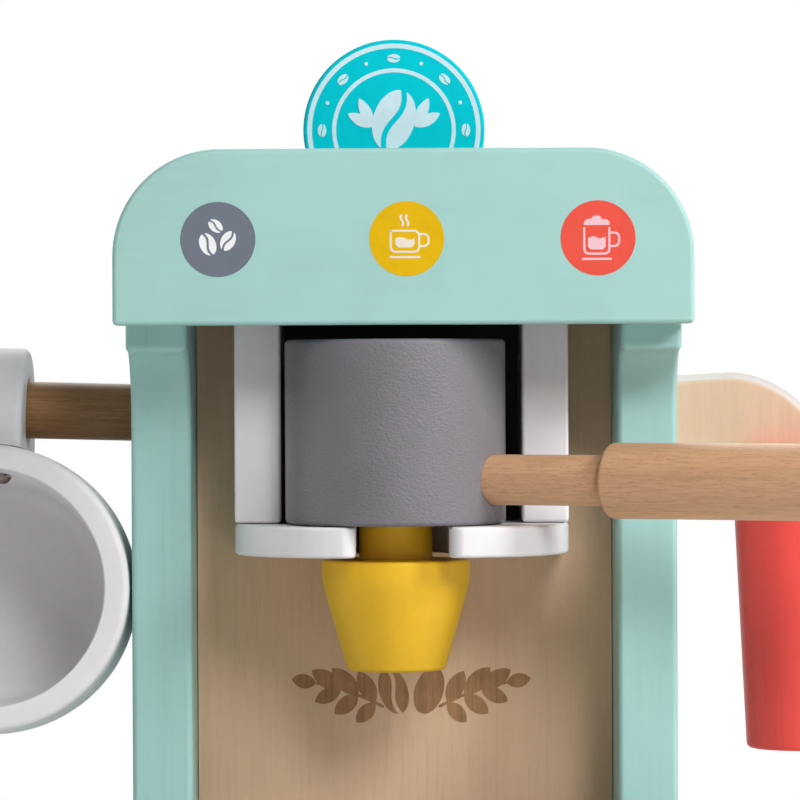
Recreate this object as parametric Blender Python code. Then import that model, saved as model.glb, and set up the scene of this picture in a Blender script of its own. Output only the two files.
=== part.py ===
"""A wooden toy coffee machine with a sliding filter and handle, a pod, a mug on a peg and a frother wand.

Metres, +Z up. The origin is the middle of the base's underside and the front faces -Y.
"""

import math

import bmesh
import bpy
from mathutils import Matrix, Vector

# Clearances and counts
FIT_GAP = 0.0003
CUT_OVERRUN = 0.002
ROUND_STEPS = 40
DOWEL_STEPS = 24
SMALL_ROUND_STEPS = 12
MUG_SIDE_STEPS = 6
WIDE_CORNER_STEPS = 10
CORNER_STEPS = 4
END_ROUNDING_STEPS = 2
SHARP_EDGE_DEGREES = 35
EASED_EDGE_STEPS = 2

# Base and panels
BASE_OVERHANG = 0.003
BASE_FRONT = 0.062
BASE_REAR = 0.062
BASE_THICKNESS = 0.015
BASE_CORNER_RADIUS = 0.010
BODY_WIDTH = 0.164
PANEL_THICKNESS = 0.018
PANEL_REAR = 0.060
PANEL_TOP_RADIUS = 0.0285
PANEL_EDGE_RADIUS = 0.0018
HEAD_UNDERSIDE = 0.191
WAIST_FRONT = 0.003
OVERHANG_RADIUS = 0.020
LIP_FRONT = 0.057
LIP_TOP = 0.034
LIP_CORNER_RADIUS = 0.009
LIP_CURVE_RADIUS = 0.022
UNDER_LIP_RADIUS = 0.003

# Header and top
HEADER_OVERHANG = 0.003
HEADER_BOTTOM = 0.199
HEADER_TOP = 0.2505
HEADER_THICKNESS = 0.012
HEADER_FRONT = 0.040
HEADER_CORNER_RADIUS = 0.0315
HEADER_FOOT_RADIUS = 0.003
BOARD_EDGE_RADIUS = 0.0014
TOP_BELOW_HEADER = 0.003
TOP_THICKNESS = 0.012
TOP_REAR_INSET = 0.001

# Back board and backing
BACK_FRONT_FACE = 0.031
BACK_THICKNESS = 0.008
BACKING_THICKNESS = 0.003

# Drip tray
TRAY_SIDE_GAP = 0.006
TRAY_FRONT = 0.055
TRAY_REAR = 0.024
TRAY_THICKNESS = 0.008
TRAY_CORNER_RADIUS = 0.008
TRAY_SLOT_COUNT = 7
TRAY_SLOT_WIDTH = 0.0045
TRAY_SLOT_LENGTH = 0.058
TRAY_SLOT_MARGIN = 0.01525

# Hangers and fork plate
FORK_CENTRE_X = -0.0008
HANGER_WIDTH = 0.014
HANGER_PANEL_GAP = 0.0138
HANGER_EDGE_RADIUS = 0.0010
PLATE_TOP = 0.1396
PLATE_THICKNESS = 0.0091
PLATE_FRONT = 0.036
PLATE_SIDE_FLAT = 0.0122
PLATE_EDGE_RADIUS = 0.0011
SLOT_CENTRE_X = -0.0006
SLOT_WIDTH = 0.0275
SLOT_END_Y = -0.005
SLOT_MOUTH_RADIUS = 0.004

# Filter head and spout
FILTER_X = -0.0026
HEAD_SIDE_GAP = 0.0032
HEAD_REAR_GAP = 0.0007
HEAD_HEIGHT = 0.055
HEAD_EDGE_RADIUS = 0.0012
NECK_RADIUS = 0.011
SPOUT_RADIUS = 0.0222
SPOUT_TIP_RADIUS = 0.0150
SPOUT_BELOW_PLATE = 0.0015
SPOUT_SHOULDER = 0.0055
SPOUT_HEIGHT = 0.0331
SPOUT_TIP_ROUNDING = 0.0016
SPOUT_EDGE_RADIUS = 0.0009
SPIGOT_RADIUS = 0.006
SPIGOT_LENGTH = 0.010

# Handle, measured along its length from the filter's axis
HANDLE_TURN_DEGREES = -27.0
HANDLE_ABOVE_PLATE = 0.0135
STEM_RADIUS = 0.0075
STEM_START_SHARE = 19 / 33
GRIP_START = 0.0708
GRIP_LENGTH = 0.0842
GRIP_RADIUS = 0.0111
GRIP_SEAT_DEPTH = 0.018
GRIP_NEAR_ROUNDING = 0.0014
GRIP_END_ROUNDING = 0.0070
DOWEL_EDGE_RADIUS = 0.0008

# Coffee pod
POD_RADIUS = 0.027
POD_THICKNESS = 0.009
POD_X = -0.0026
POD_Y = -0.009
POD_RISE = 0.0096
POD_EDGE_RADIUS = 0.0008

# Mug and its peg
PEG_RADIUS = 0.00878
PEG_Y = 0.035
PEG_Z_AT_PANEL = 0.1729
PEG_TILT_DEGREES = 1.53
PEG_REACH = 0.068
PEG_SEAT_DEPTH = 0.012
MUG_RADIUS = 0.0440
MUG_MOUTH_INSET = 0.0028
MUG_BASE_INSET = 0.0020
MUG_LENGTH = 0.066
MUG_MOUTH_REACH = 0.036
MUG_WALL = 0.0092
MUG_BORE_TAPER = 0.0023
MUG_FLOOR = 0.008
MUG_LIP_ROUNDING = 0.0034
MUG_INNER_LIP_ROUNDING = 0.0012
MUG_BASE_ROUNDING = 0.0050
MUG_BORE_ROUNDING = 0.0060
PEG_ABOVE_MUG = 0.0114
MUG_TILT_DEGREES = 4.4
EAR_THICKNESS = 0.018
EAR_RADIUS = 0.0265
EAR_CENTRE_DROP = 0.0069
EAR_HOLE_RADIUS = 0.00975
EAR_EDGE_RADIUS = 0.0024
MUG_SCREW_PITCH = 0.035
MUG_SCREW_STAGGER = 0.0033

# Wing board and frother wand
WING_Y = 0.026
WING_THICKNESS = 0.012
WING_INNER_HEIGHT = 0.0369
WING_TOP_LIFT = 0.0012
WING_ARC_RADIUS = 0.033
WING_ARC_DEGREES = 80.0
WING_REACH = 0.0492
WING_BOTTOM = 0.1470
WING_LOWER_RADIUS = 0.0045
WING_EDGE_RADIUS = 0.0022
PIVOT_FROM_PANEL = 0.0393
PIVOT_ABOVE_WING_BOTTOM = 0.0095
PIVOT_RADIUS = 0.003
WAND_RADIUS = 0.0208
WAND_TIP_RADIUS = 0.0165
WAND_ABOVE_PIVOT = 0.0062
WAND_BELOW_PIVOT = 0.0871
WAND_TOP_ROUNDING = 0.0050
WAND_TIP_ROUNDING = 0.0016
CLEVIS_SIDE_GAP = 0.0005
CLEVIS_DEPTH_BELOW_PIVOT = 0.0163
PIVOT_PIN_INSET = 0.0010

# Fasteners
SCREW_RADIUS = 0.0018
SCREW_HEAD_RADIUS = 0.0038
SCREW_LENGTH = 0.024
SCREW_HEAD_SINK = 0.0004
SCREW_RECESS_RADIUS = 0.0012
SCREW_RECESS_DEPTH = 0.0008
DOME_HEAD_RADIUS = 0.0026
DOME_HEAD_HEIGHT = 0.0024
DOME_SCREW_RADIUS = 0.0012
DOME_SCREW_LENGTH = 0.014
HEADER_DOWEL_RADIUS = 0.003
HEADER_DOWEL_LENGTH = 0.018
HEADER_DOWEL_IN_HEADER = 0.007
HEADER_DOWEL_INSET = 0.012
WING_SCREW_INSET = 0.009
HANGER_SCREW_RISE = 0.027
HANGER_SCREW_DROP = 0.024

# Worked-out places
PANEL_OUTER_X = BODY_WIDTH / 2
PANEL_INNER_X = PANEL_OUTER_X - PANEL_THICKNESS
PANEL_MIDDLE_X = PANEL_INNER_X + PANEL_THICKNESS / 2
BASE_HALF_WIDTH = PANEL_OUTER_X + BASE_OVERHANG
HEADER_HALF_WIDTH = PANEL_OUTER_X + HEADER_OVERHANG
TRAY_HALF_WIDTH = PANEL_INNER_X - TRAY_SIDE_GAP
TRAY_SLOT_REACH = TRAY_HALF_WIDTH - TRAY_SLOT_MARGIN - TRAY_SLOT_WIDTH / 2
BOARD_HALF_WIDTH = PANEL_INNER_X - FIT_GAP
PANEL_FOOT = BASE_THICKNESS + FIT_GAP
PANEL_TOP = HEADER_TOP - TOP_BELOW_HEADER
PANEL_HEAD_FRONT = -HEADER_FRONT + HEADER_THICKNESS + FIT_GAP
TOP_UNDERSIDE = PANEL_TOP - TOP_THICKNESS
CEILING = TOP_UNDERSIDE - FIT_GAP
PLATE_UNDERSIDE = PLATE_TOP - PLATE_THICKNESS
HEAD_FOOT = PLATE_TOP + FIT_GAP
HANGER_FOOT = PLATE_TOP + FIT_GAP
HANGER_REAR = BACK_FRONT_FACE - FIT_GAP
HANGER_HALF_SPAN = PANEL_INNER_X - HANGER_PANEL_GAP
HANGER_HALF_GAP = HANGER_HALF_SPAN - HANGER_WIDTH
PLATE_CORNER_RADIUS = HANGER_HALF_SPAN - PLATE_SIDE_FLAT
HEAD_RADIUS = HANGER_HALF_GAP - HEAD_SIDE_GAP
BACKING_FRONT_FACE = HANGER_REAR - BACKING_THICKNESS
FILTER_Y = BACKING_FRONT_FACE - HEAD_REAR_GAP - HEAD_RADIUS
SPOUT_TOP = PLATE_UNDERSIDE - SPOUT_BELOW_PLATE
HANDLE_Z = PLATE_TOP + HANDLE_ABOVE_PLATE
STEM_START = HEAD_RADIUS * STEM_START_SHARE
STEM_END = GRIP_START + GRIP_SEAT_DEPTH
POD_Z = PANEL_TOP + POD_RISE
PEG_RADIAL_CLEARANCE = EAR_HOLE_RADIUS - PEG_RADIUS
MUG_MOUTH_RADIUS = MUG_RADIUS - MUG_MOUTH_INSET
MUG_BASE_RADIUS = MUG_RADIUS - MUG_BASE_INSET
MUG_BORE_RADIUS = MUG_RADIUS - MUG_WALL
MUG_BORE_END_RADIUS = MUG_BORE_RADIUS - MUG_BORE_TAPER
MUG_AXIS_DROP = MUG_RADIUS + PEG_ABOVE_MUG
MUG_X = -(PANEL_OUTER_X + FIT_GAP + MUG_RADIUS)
WING_INNER_X = PANEL_OUTER_X + FIT_GAP
WING_INNER_TOP = WING_BOTTOM + WING_INNER_HEIGHT
PIVOT_Z = WING_BOTTOM + PIVOT_ABOVE_WING_BOTTOM
PIVOT_X = PANEL_OUTER_X + PIVOT_FROM_PANEL
CLEVIS_HALF_GAP = WING_THICKNESS / 2 + CLEVIS_SIDE_GAP

# Finishes: colour, roughness, metallic
FINISH_SHARES = {
    "mint_paint": ((0.42, 0.66, 0.63), 0.45, 0.0),
    "white_paint": ((0.82, 0.81, 0.80), 0.50, 0.0),
    "gray_paint": ((0.27, 0.27, 0.29), 0.55, 0.0),
    "yellow_paint": ((0.80, 0.52, 0.06), 0.45, 0.0),
    "red_paint": ((0.85, 0.10, 0.08), 0.45, 0.0),
    "turquoise_paint": ((0.01, 0.52, 0.62), 0.45, 0.0),
    "black_paint": ((0.01, 0.01, 0.01), 0.60, 0.0),
    "natural_plywood": ((0.72, 0.53, 0.36), 0.60, 0.0),
    "natural_beech": ((0.58, 0.36, 0.20), 0.55, 0.0),
    "screw_steel": ((0.55, 0.53, 0.50), 0.35, 1.0),
}
DOME_STEP_SHARES = (0, 0.5, 0.8, 1)
BORE_FACET_SHARE = math.cos(math.pi / ROUND_STEPS)


def clear_scene():
    for old in list(bpy.data.objects):
        bpy.data.objects.remove(old, do_unlink=True)


def finish(name):
    """The material of this name, made the first time that it is asked for."""
    found = bpy.data.materials.get(name)
    if found:
        return found
    colour, roughness, metallic = FINISH_SHARES[name]
    made = bpy.data.materials.new(name)
    made.use_nodes = True
    shader = made.node_tree.nodes["Principled BSDF"]
    shader.inputs["Base Color"].default_value = (*colour, 1)
    shader.inputs["Roughness"].default_value = roughness
    shader.inputs["Metallic"].default_value = metallic
    return made


def empty(name, location, rotation=(0, 0, 0), parent=None):
    made = bpy.data.objects.new(name, None)
    bpy.context.scene.collection.objects.link(made)
    made.parent = parent
    made.location = location
    made.rotation_euler = rotation
    return made


def piece(name, mesh_data, finish_name=None, location=(0, 0, 0), parent=None, rotation=(0, 0, 0)):
    """An object from a bmesh, with its normals out. Without a finish it is a cutter."""
    bmesh.ops.remove_doubles(mesh_data, verts=mesh_data.verts, dist=FIT_GAP / ROUND_STEPS)
    bmesh.ops.recalc_face_normals(mesh_data, faces=mesh_data.faces)
    mesh = bpy.data.meshes.new(name)
    mesh_data.to_mesh(mesh)
    mesh_data.free()
    made = bpy.data.objects.new(name, mesh)
    bpy.context.scene.collection.objects.link(made)
    made.parent = parent
    made.location = location
    made.rotation_euler = rotation
    if finish_name is None:
        made.hide_render = True
        made.display_type = "WIRE"
    else:
        mesh.materials.append(finish(finish_name))
        mesh.shade_smooth()
        mesh.set_sharp_from_angle(angle=math.radians(SHARP_EDGE_DEGREES))
    return made


def arc(centre, radius, start_degrees, end_degrees, steps):
    """Points on an arc, both ends included."""
    points = []
    for step in range(steps + 1):
        angle = math.radians(start_degrees + (end_degrees - start_degrees) * step / steps)
        points.append((centre[0] + radius * math.cos(angle), centre[1] + radius * math.sin(angle)))
    return points


def rounded_rectangle(low_a, high_a, low_b, high_b, radius, steps=CORNER_STEPS):
    """The outline of a rectangle with four equal round corners."""
    points = arc((high_a - radius, high_b - radius), radius, 0, 90, steps)
    points += arc((low_a + radius, high_b - radius), radius, 90, 180, steps)
    points += arc((low_a + radius, low_b + radius), radius, 180, 270, steps)
    points += arc((high_a - radius, low_b + radius), radius, 270, 360, steps)
    return points


def rectangle(low_a, high_a, low_b, high_b):
    return [(low_a, low_b), (high_a, low_b), (high_a, high_b), (low_a, high_b)]


def slab(outline, axis, low, high):
    """A bmesh of an outline in the plane square to the axis, pulled from low to high along it."""
    number = "XYZ".index(axis)
    mesh_data = bmesh.new()
    corners = []
    for first, second in outline:
        place = [first, second]
        place.insert(number, low)
        corners.append(mesh_data.verts.new(place))
    face = mesh_data.faces.new(corners)
    pulled = bmesh.ops.extrude_face_region(mesh_data, geom=[face])
    moved = [item for item in pulled["geom"] if isinstance(item, bmesh.types.BMVert)]
    step = Vector((0, 0, 0))
    step[number] = high - low
    bmesh.ops.translate(mesh_data, verts=moved, vec=step)
    return mesh_data


def turned(profile, steps=ROUND_STEPS):
    """A bmesh of a profile of (radius, height) points turned round the Z axis."""
    mesh_data = bmesh.new()
    points = [mesh_data.verts.new((radius, 0, height)) for radius, height in profile]
    edges = [mesh_data.edges.new(pair) for pair in zip(points, points[1:])]
    bmesh.ops.spin(
        mesh_data,
        geom=points + edges,
        cent=(0, 0, 0),
        axis=(0, 0, 1),
        angle=math.tau,
        steps=steps,
        use_merge=True,
    )
    return mesh_data


def rod_profile(radius, low, high, low_rounding, high_rounding, steps=END_ROUNDING_STEPS):
    """The half outline of a rod from its lower end's middle to its upper end's middle."""
    points = [(0, low)]
    points += arc((radius - low_rounding, low + low_rounding), low_rounding, -90, 0, steps)
    points += arc((radius - high_rounding, high - high_rounding), high_rounding, 0, 90, steps)
    points.append((0, high))
    return points


def plain_rod(radius, low, high):
    """The half outline of a rod with square ends, as cutters have."""
    return [(0, low), (radius, low), (radius, high), (0, high)]


def ease_edges(obj, radius):
    """Rounds every edge that bends more than a sharp edge does."""
    bevel = obj.modifiers.new("eased_edges", "BEVEL")
    bevel.width = radius
    bevel.segments = EASED_EDGE_STEPS
    bevel.limit_method = "ANGLE"
    bevel.angle_limit = math.radians(SHARP_EDGE_DEGREES)


def cut(obj, cutter):
    """Takes the cutter's shape out of the object."""
    boolean = obj.modifiers.new("cut_" + cutter.name, "BOOLEAN")
    boolean.operation = "DIFFERENCE"
    boolean.solver = "EXACT"
    boolean.object = cutter


def aimed(direction):
    """The rotation that turns +Z to a direction."""
    return Vector(direction).to_track_quat("Z", "Y").to_euler()


def base_board():
    front = -BASE_FRONT
    outline = rounded_rectangle(
        -BASE_HALF_WIDTH, BASE_HALF_WIDTH, front, BASE_REAR, BASE_CORNER_RADIUS
    )
    board = piece("base_board", slab(outline, "Z", 0, BASE_THICKNESS), "mint_paint")
    ease_edges(board, BOARD_EDGE_RADIUS)
    return board


def side_outline():
    """The C shape of a side panel, seen from the side, as (Y, Z) points."""
    waist = -WAIST_FRONT
    points = [(PANEL_REAR, PANEL_FOOT), (PANEL_REAR, PANEL_TOP), (PANEL_HEAD_FRONT, PANEL_TOP)]
    points.append((PANEL_HEAD_FRONT, HEAD_UNDERSIDE))
    overhang_centre = (waist - OVERHANG_RADIUS, HEAD_UNDERSIDE - OVERHANG_RADIUS)
    points += arc(overhang_centre, OVERHANG_RADIUS, 90, 0, WIDE_CORNER_STEPS)
    lip_centre = (waist - LIP_CURVE_RADIUS, LIP_TOP + LIP_CURVE_RADIUS)
    points += arc(lip_centre, LIP_CURVE_RADIUS, 0, -90, WIDE_CORNER_STEPS)
    corner = (-LIP_FRONT + LIP_CORNER_RADIUS, LIP_TOP - LIP_CORNER_RADIUS)
    points += arc(corner, LIP_CORNER_RADIUS, 90, 180, CORNER_STEPS)
    foot = (-LIP_FRONT + UNDER_LIP_RADIUS, PANEL_FOOT + UNDER_LIP_RADIUS)
    points += arc(foot, UNDER_LIP_RADIUS, 180, 270, END_ROUNDING_STEPS)
    return points


def side_panel(name, side):
    """side is -1 on the left and 1 on the right."""
    near, far = sorted((side * PANEL_INNER_X, side * PANEL_OUTER_X))
    panel = piece(name, slab(side_outline(), "X", near, far), "mint_paint")
    corner = piece(
        name + "_top_corner",
        panel_corner_cutter(),
        location=(side * (PANEL_OUTER_X - PANEL_TOP_RADIUS), 0, PANEL_TOP - PANEL_TOP_RADIUS),
    )
    corner.scale = (side, 1, 1)
    cut(panel, corner)
    ease_edges(panel, PANEL_EDGE_RADIUS)
    return panel


def panel_corner_cutter():
    """What lies outside the round top corner, so that the header hides the panel behind it."""
    reach = PANEL_TOP_RADIUS + CUT_OVERRUN
    points = arc((0, 0), PANEL_TOP_RADIUS, 0, 90, WIDE_CORNER_STEPS)
    points += [(0, reach), (reach, reach), (reach, 0)]
    return slab(points, "Y", -BASE_FRONT, BASE_REAR)


def header_board():
    half = HEADER_HALF_WIDTH
    radius = HEADER_CORNER_RADIUS
    foot = HEADER_FOOT_RADIUS
    steps = WIDE_CORNER_STEPS
    outline = arc((half - radius, HEADER_TOP - radius), radius, 0, 90, steps)
    outline += arc((radius - half, HEADER_TOP - radius), radius, 90, 180, steps)
    outline += arc((foot - half, HEADER_BOTTOM + foot), foot, 180, 270, END_ROUNDING_STEPS)
    outline += arc((half - foot, HEADER_BOTTOM + foot), foot, 270, 360, END_ROUNDING_STEPS)
    rear = -HEADER_FRONT + HEADER_THICKNESS
    board = piece("header_board", slab(outline, "Y", -HEADER_FRONT, rear), "mint_paint")
    ease_edges(board, BOARD_EDGE_RADIUS)
    return board


def top_board():
    rear = PANEL_REAR - TOP_REAR_INSET
    outline = rectangle(-BOARD_HALF_WIDTH, BOARD_HALF_WIDTH, PANEL_HEAD_FRONT, rear)
    board = piece("top_board", slab(outline, "Z", TOP_UNDERSIDE, PANEL_TOP), "mint_paint")
    ease_edges(board, HANGER_EDGE_RADIUS)
    slot_profile = rod_profile(
        POD_RADIUS + FIT_GAP,
        -POD_THICKNESS / 2 - FIT_GAP,
        POD_THICKNESS / 2 + FIT_GAP,
        POD_EDGE_RADIUS,
        POD_EDGE_RADIUS,
        1,
    )
    slot = piece(
        "pod_slot_cutter",
        turned(slot_profile),
        location=(POD_X, POD_Y, POD_Z),
        rotation=(math.pi / 2, 0, 0),
    )
    cut(board, slot)


def back_board():
    outline = rectangle(-BOARD_HALF_WIDTH, BOARD_HALF_WIDTH, PANEL_FOOT, CEILING)
    rear = BACK_FRONT_FACE + BACK_THICKNESS
    return piece("back_board", slab(outline, "Y", BACK_FRONT_FACE, rear), "natural_plywood")


def backing_panel():
    half = HANGER_HALF_GAP - FIT_GAP
    outline = rectangle(FORK_CENTRE_X - half, FORK_CENTRE_X + half, HANGER_FOOT, CEILING)
    mesh_data = slab(outline, "Y", BACKING_FRONT_FACE, HANGER_REAR)
    piece("backing_panel", mesh_data, "black_paint")


def drip_tray():
    foot = BASE_THICKNESS + FIT_GAP
    outline = rounded_rectangle(
        -TRAY_HALF_WIDTH, TRAY_HALF_WIDTH, -TRAY_FRONT, TRAY_REAR, TRAY_CORNER_RADIUS
    )
    tray = piece("drip_tray", slab(outline, "Z", foot, foot + TRAY_THICKNESS), "gray_paint")
    ease_edges(tray, BOARD_EDGE_RADIUS)
    middle_y = (TRAY_REAR - TRAY_FRONT) / 2
    for number in range(TRAY_SLOT_COUNT):
        centre = TRAY_SLOT_REACH * (number / (TRAY_SLOT_COUNT - 1) * 2 - 1)
        slot = rounded_rectangle(
            centre - TRAY_SLOT_WIDTH / 2,
            centre + TRAY_SLOT_WIDTH / 2,
            middle_y - TRAY_SLOT_LENGTH / 2,
            middle_y + TRAY_SLOT_LENGTH / 2,
            TRAY_SLOT_WIDTH / 2,
            END_ROUNDING_STEPS,
        )
        mesh_data = slab(slot, "Z", foot - CUT_OVERRUN, foot + TRAY_THICKNESS + CUT_OVERRUN)
        cut(tray, piece(f"tray_slot_cutter_{number + 1}", mesh_data))


def hanger(name, side):
    inner = FORK_CENTRE_X + side * HANGER_HALF_GAP
    low, high = sorted((inner, inner + side * HANGER_WIDTH))
    outline = rectangle(low, high, -WAIST_FRONT, HANGER_REAR)
    post = piece(name, slab(outline, "Z", HANGER_FOOT, CEILING), "white_paint")
    ease_edges(post, HANGER_EDGE_RADIUS)
    return post


def foot_outline(side):
    """The edge of one foot of the fork, from the slot's wall round its mouth and wide corner."""
    outer = FORK_CENTRE_X + side * HANGER_HALF_SPAN
    corner = (outer - side * PLATE_CORNER_RADIUS, PLATE_CORNER_RADIUS - PLATE_FRONT)
    mouth_x = SLOT_CENTRE_X + side * (SLOT_WIDTH / 2 + SLOT_MOUTH_RADIUS)
    lean = math.asin(abs(mouth_x - corner[0]) / PLATE_CORNER_RADIUS)
    mouth_y = corner[1] - PLATE_CORNER_RADIUS * math.cos(lean) + SLOT_MOUTH_RADIUS
    wall_turn = 90 + side * 90
    front_turn = 270 if side > 0 else -90
    outer_turn = 360 if side > 0 else -180
    points = arc((mouth_x, mouth_y), SLOT_MOUTH_RADIUS, wall_turn, front_turn, CORNER_STEPS)
    start_turn = front_turn + side * math.degrees(lean)
    return points + arc(corner, PLATE_CORNER_RADIUS, start_turn, outer_turn, WIDE_CORNER_STEPS)


def fork_plate():
    """A plate with a wide round front and a U slot that the neck slides in."""
    left = foot_outline(-1)
    right = foot_outline(1)
    outline = [(right[-1][0], HANGER_REAR), (left[-1][0], HANGER_REAR)]
    outline += left[::-1]
    outline += arc((SLOT_CENTRE_X, SLOT_END_Y), SLOT_WIDTH / 2, 180, 0, SMALL_ROUND_STEPS)
    outline += right
    plate = piece("fork_plate", slab(outline, "Z", PLATE_UNDERSIDE, PLATE_TOP), "white_paint")
    ease_edges(plate, PLATE_EDGE_RADIUS)
    return plate


def filter_head(carrier):
    profile = rod_profile(HEAD_RADIUS, 0, HEAD_HEIGHT, HEAD_EDGE_RADIUS, HEAD_EDGE_RADIUS)
    head = piece("filter_head", turned(profile), "gray_paint", parent=carrier)
    stem_hole = plain_rod(STEM_RADIUS + FIT_GAP, 0, HEAD_RADIUS)
    turn = math.radians(HANDLE_TURN_DEGREES)
    start = STEM_START - FIT_GAP
    cutter = piece(
        "stem_hole_cutter",
        turned(stem_hole, DOWEL_STEPS),
        location=(start * math.cos(turn), start * math.sin(turn), HANDLE_Z - HEAD_FOOT),
        rotation=(0, math.pi / 2, turn),
        parent=carrier,
    )
    cut(head, cutter)
    bore = plain_rod(SPIGOT_RADIUS + FIT_GAP, -CUT_OVERRUN, SPIGOT_LENGTH + FIT_GAP)
    cut(head, piece("spigot_bore_cutter", turned(bore, DOWEL_STEPS), parent=carrier))


def filter_spout(carrier):
    """The yellow spout, its neck in the fork's slot and the spigot that seats in the head."""
    neck_top = HEAD_FOOT - FIT_GAP - SPOUT_TOP
    taper_top = -SPOUT_SHOULDER
    tip = -SPOUT_HEIGHT
    lean = math.degrees(math.atan2(SPOUT_RADIUS - SPOUT_TIP_RADIUS, SPOUT_HEIGHT - SPOUT_SHOULDER))
    rounding = SPOUT_TIP_ROUNDING
    edge = SPOUT_EDGE_RADIUS
    profile = [(0, tip)]
    profile += arc((SPOUT_TIP_RADIUS - rounding, tip + rounding), rounding, -90, -lean, CORNER_STEPS)
    profile += [(SPOUT_RADIUS, taper_top)]
    profile += arc((SPOUT_RADIUS - edge, -edge), edge, 0, 90, END_ROUNDING_STEPS)
    profile += [(NECK_RADIUS, 0), (NECK_RADIUS, neck_top), (SPIGOT_RADIUS, neck_top)]
    profile += [(SPIGOT_RADIUS, neck_top + SPIGOT_LENGTH), (0, neck_top + SPIGOT_LENGTH)]
    piece("filter_spout", turned(profile), "yellow_paint", parent=carrier)


def handle(carrier):
    """The thin stem in the head and the thick grip on the stem, along one level line."""
    turn = math.radians(HANDLE_TURN_DEGREES)
    line = empty(
        "handle_line", (0, 0, HANDLE_Z - HEAD_FOOT), (0, math.pi / 2, turn), parent=carrier
    )
    eased = DOWEL_EDGE_RADIUS
    stem_profile = rod_profile(STEM_RADIUS, STEM_START, STEM_END, eased, eased, 1)
    piece("handle_stem", turned(stem_profile, DOWEL_STEPS), "natural_beech", parent=line)
    seat = STEM_RADIUS + FIT_GAP
    near = GRIP_START
    far = GRIP_START + GRIP_LENGTH
    grip_profile = [(0, STEM_END + FIT_GAP), (seat, STEM_END + FIT_GAP), (seat, near)]
    rounding = GRIP_NEAR_ROUNDING
    grip_profile += arc((GRIP_RADIUS - rounding, near + rounding), rounding, -90, 0, END_ROUNDING_STEPS)
    rounding = GRIP_END_ROUNDING
    grip_profile += arc((GRIP_RADIUS - rounding, far - rounding), rounding, 0, 90, CORNER_STEPS)
    grip_profile.append((0, far))
    piece("handle_grip", turned(grip_profile), "natural_beech", parent=line)


def coffee_pod():
    profile = rod_profile(
        POD_RADIUS, -POD_THICKNESS / 2, POD_THICKNESS / 2, POD_EDGE_RADIUS, POD_EDGE_RADIUS
    )
    piece(
        "coffee_pod",
        turned(profile),
        "turquoise_paint",
        location=(POD_X, POD_Y, POD_Z),
        rotation=(math.pi / 2, 0, 0),
    )


def mug_peg(left_panel):
    """The dowel that the mug hangs on, rising outwards from its hole in the left panel."""
    tilt = math.radians(PEG_TILT_DEGREES)
    line = empty("peg_line", (-PANEL_OUTER_X, PEG_Y, PEG_Z_AT_PANEL), (0, tilt - math.pi / 2, 0))
    profile = rod_profile(
        PEG_RADIUS, -PEG_SEAT_DEPTH, PEG_REACH, DOWEL_EDGE_RADIUS, DOWEL_EDGE_RADIUS
    )
    piece("mug_peg", turned(profile, DOWEL_STEPS), "natural_beech", parent=line)
    hole = plain_rod(PEG_RADIUS + FIT_GAP, -PEG_SEAT_DEPTH - FIT_GAP, PEG_REACH)
    cut(left_panel, piece("peg_hole_cutter", turned(hole, DOWEL_STEPS), parent=line))


def mug_side_profile(spread):
    """The barrel side of the mug from its mouth to its base, moved out by spread.

    Heights run along the mug's axis, from 0 at the mouth.
    """
    low = MUG_LIP_ROUNDING
    high = MUG_LENGTH - MUG_BASE_ROUNDING
    points = []
    for step in range(MUG_SIDE_STEPS + 1):
        share = step / MUG_SIDE_STEPS
        if share < 1 / 2:
            rise = math.sin(math.pi * share)
            radius = MUG_MOUTH_RADIUS + (MUG_RADIUS - MUG_MOUTH_RADIUS) * rise
        else:
            fall = share * 2 - 1
            radius = MUG_RADIUS - (MUG_RADIUS - MUG_BASE_RADIUS) * fall * fall
        points.append((radius + spread, low + (high - low) * share))
    return points


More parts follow.
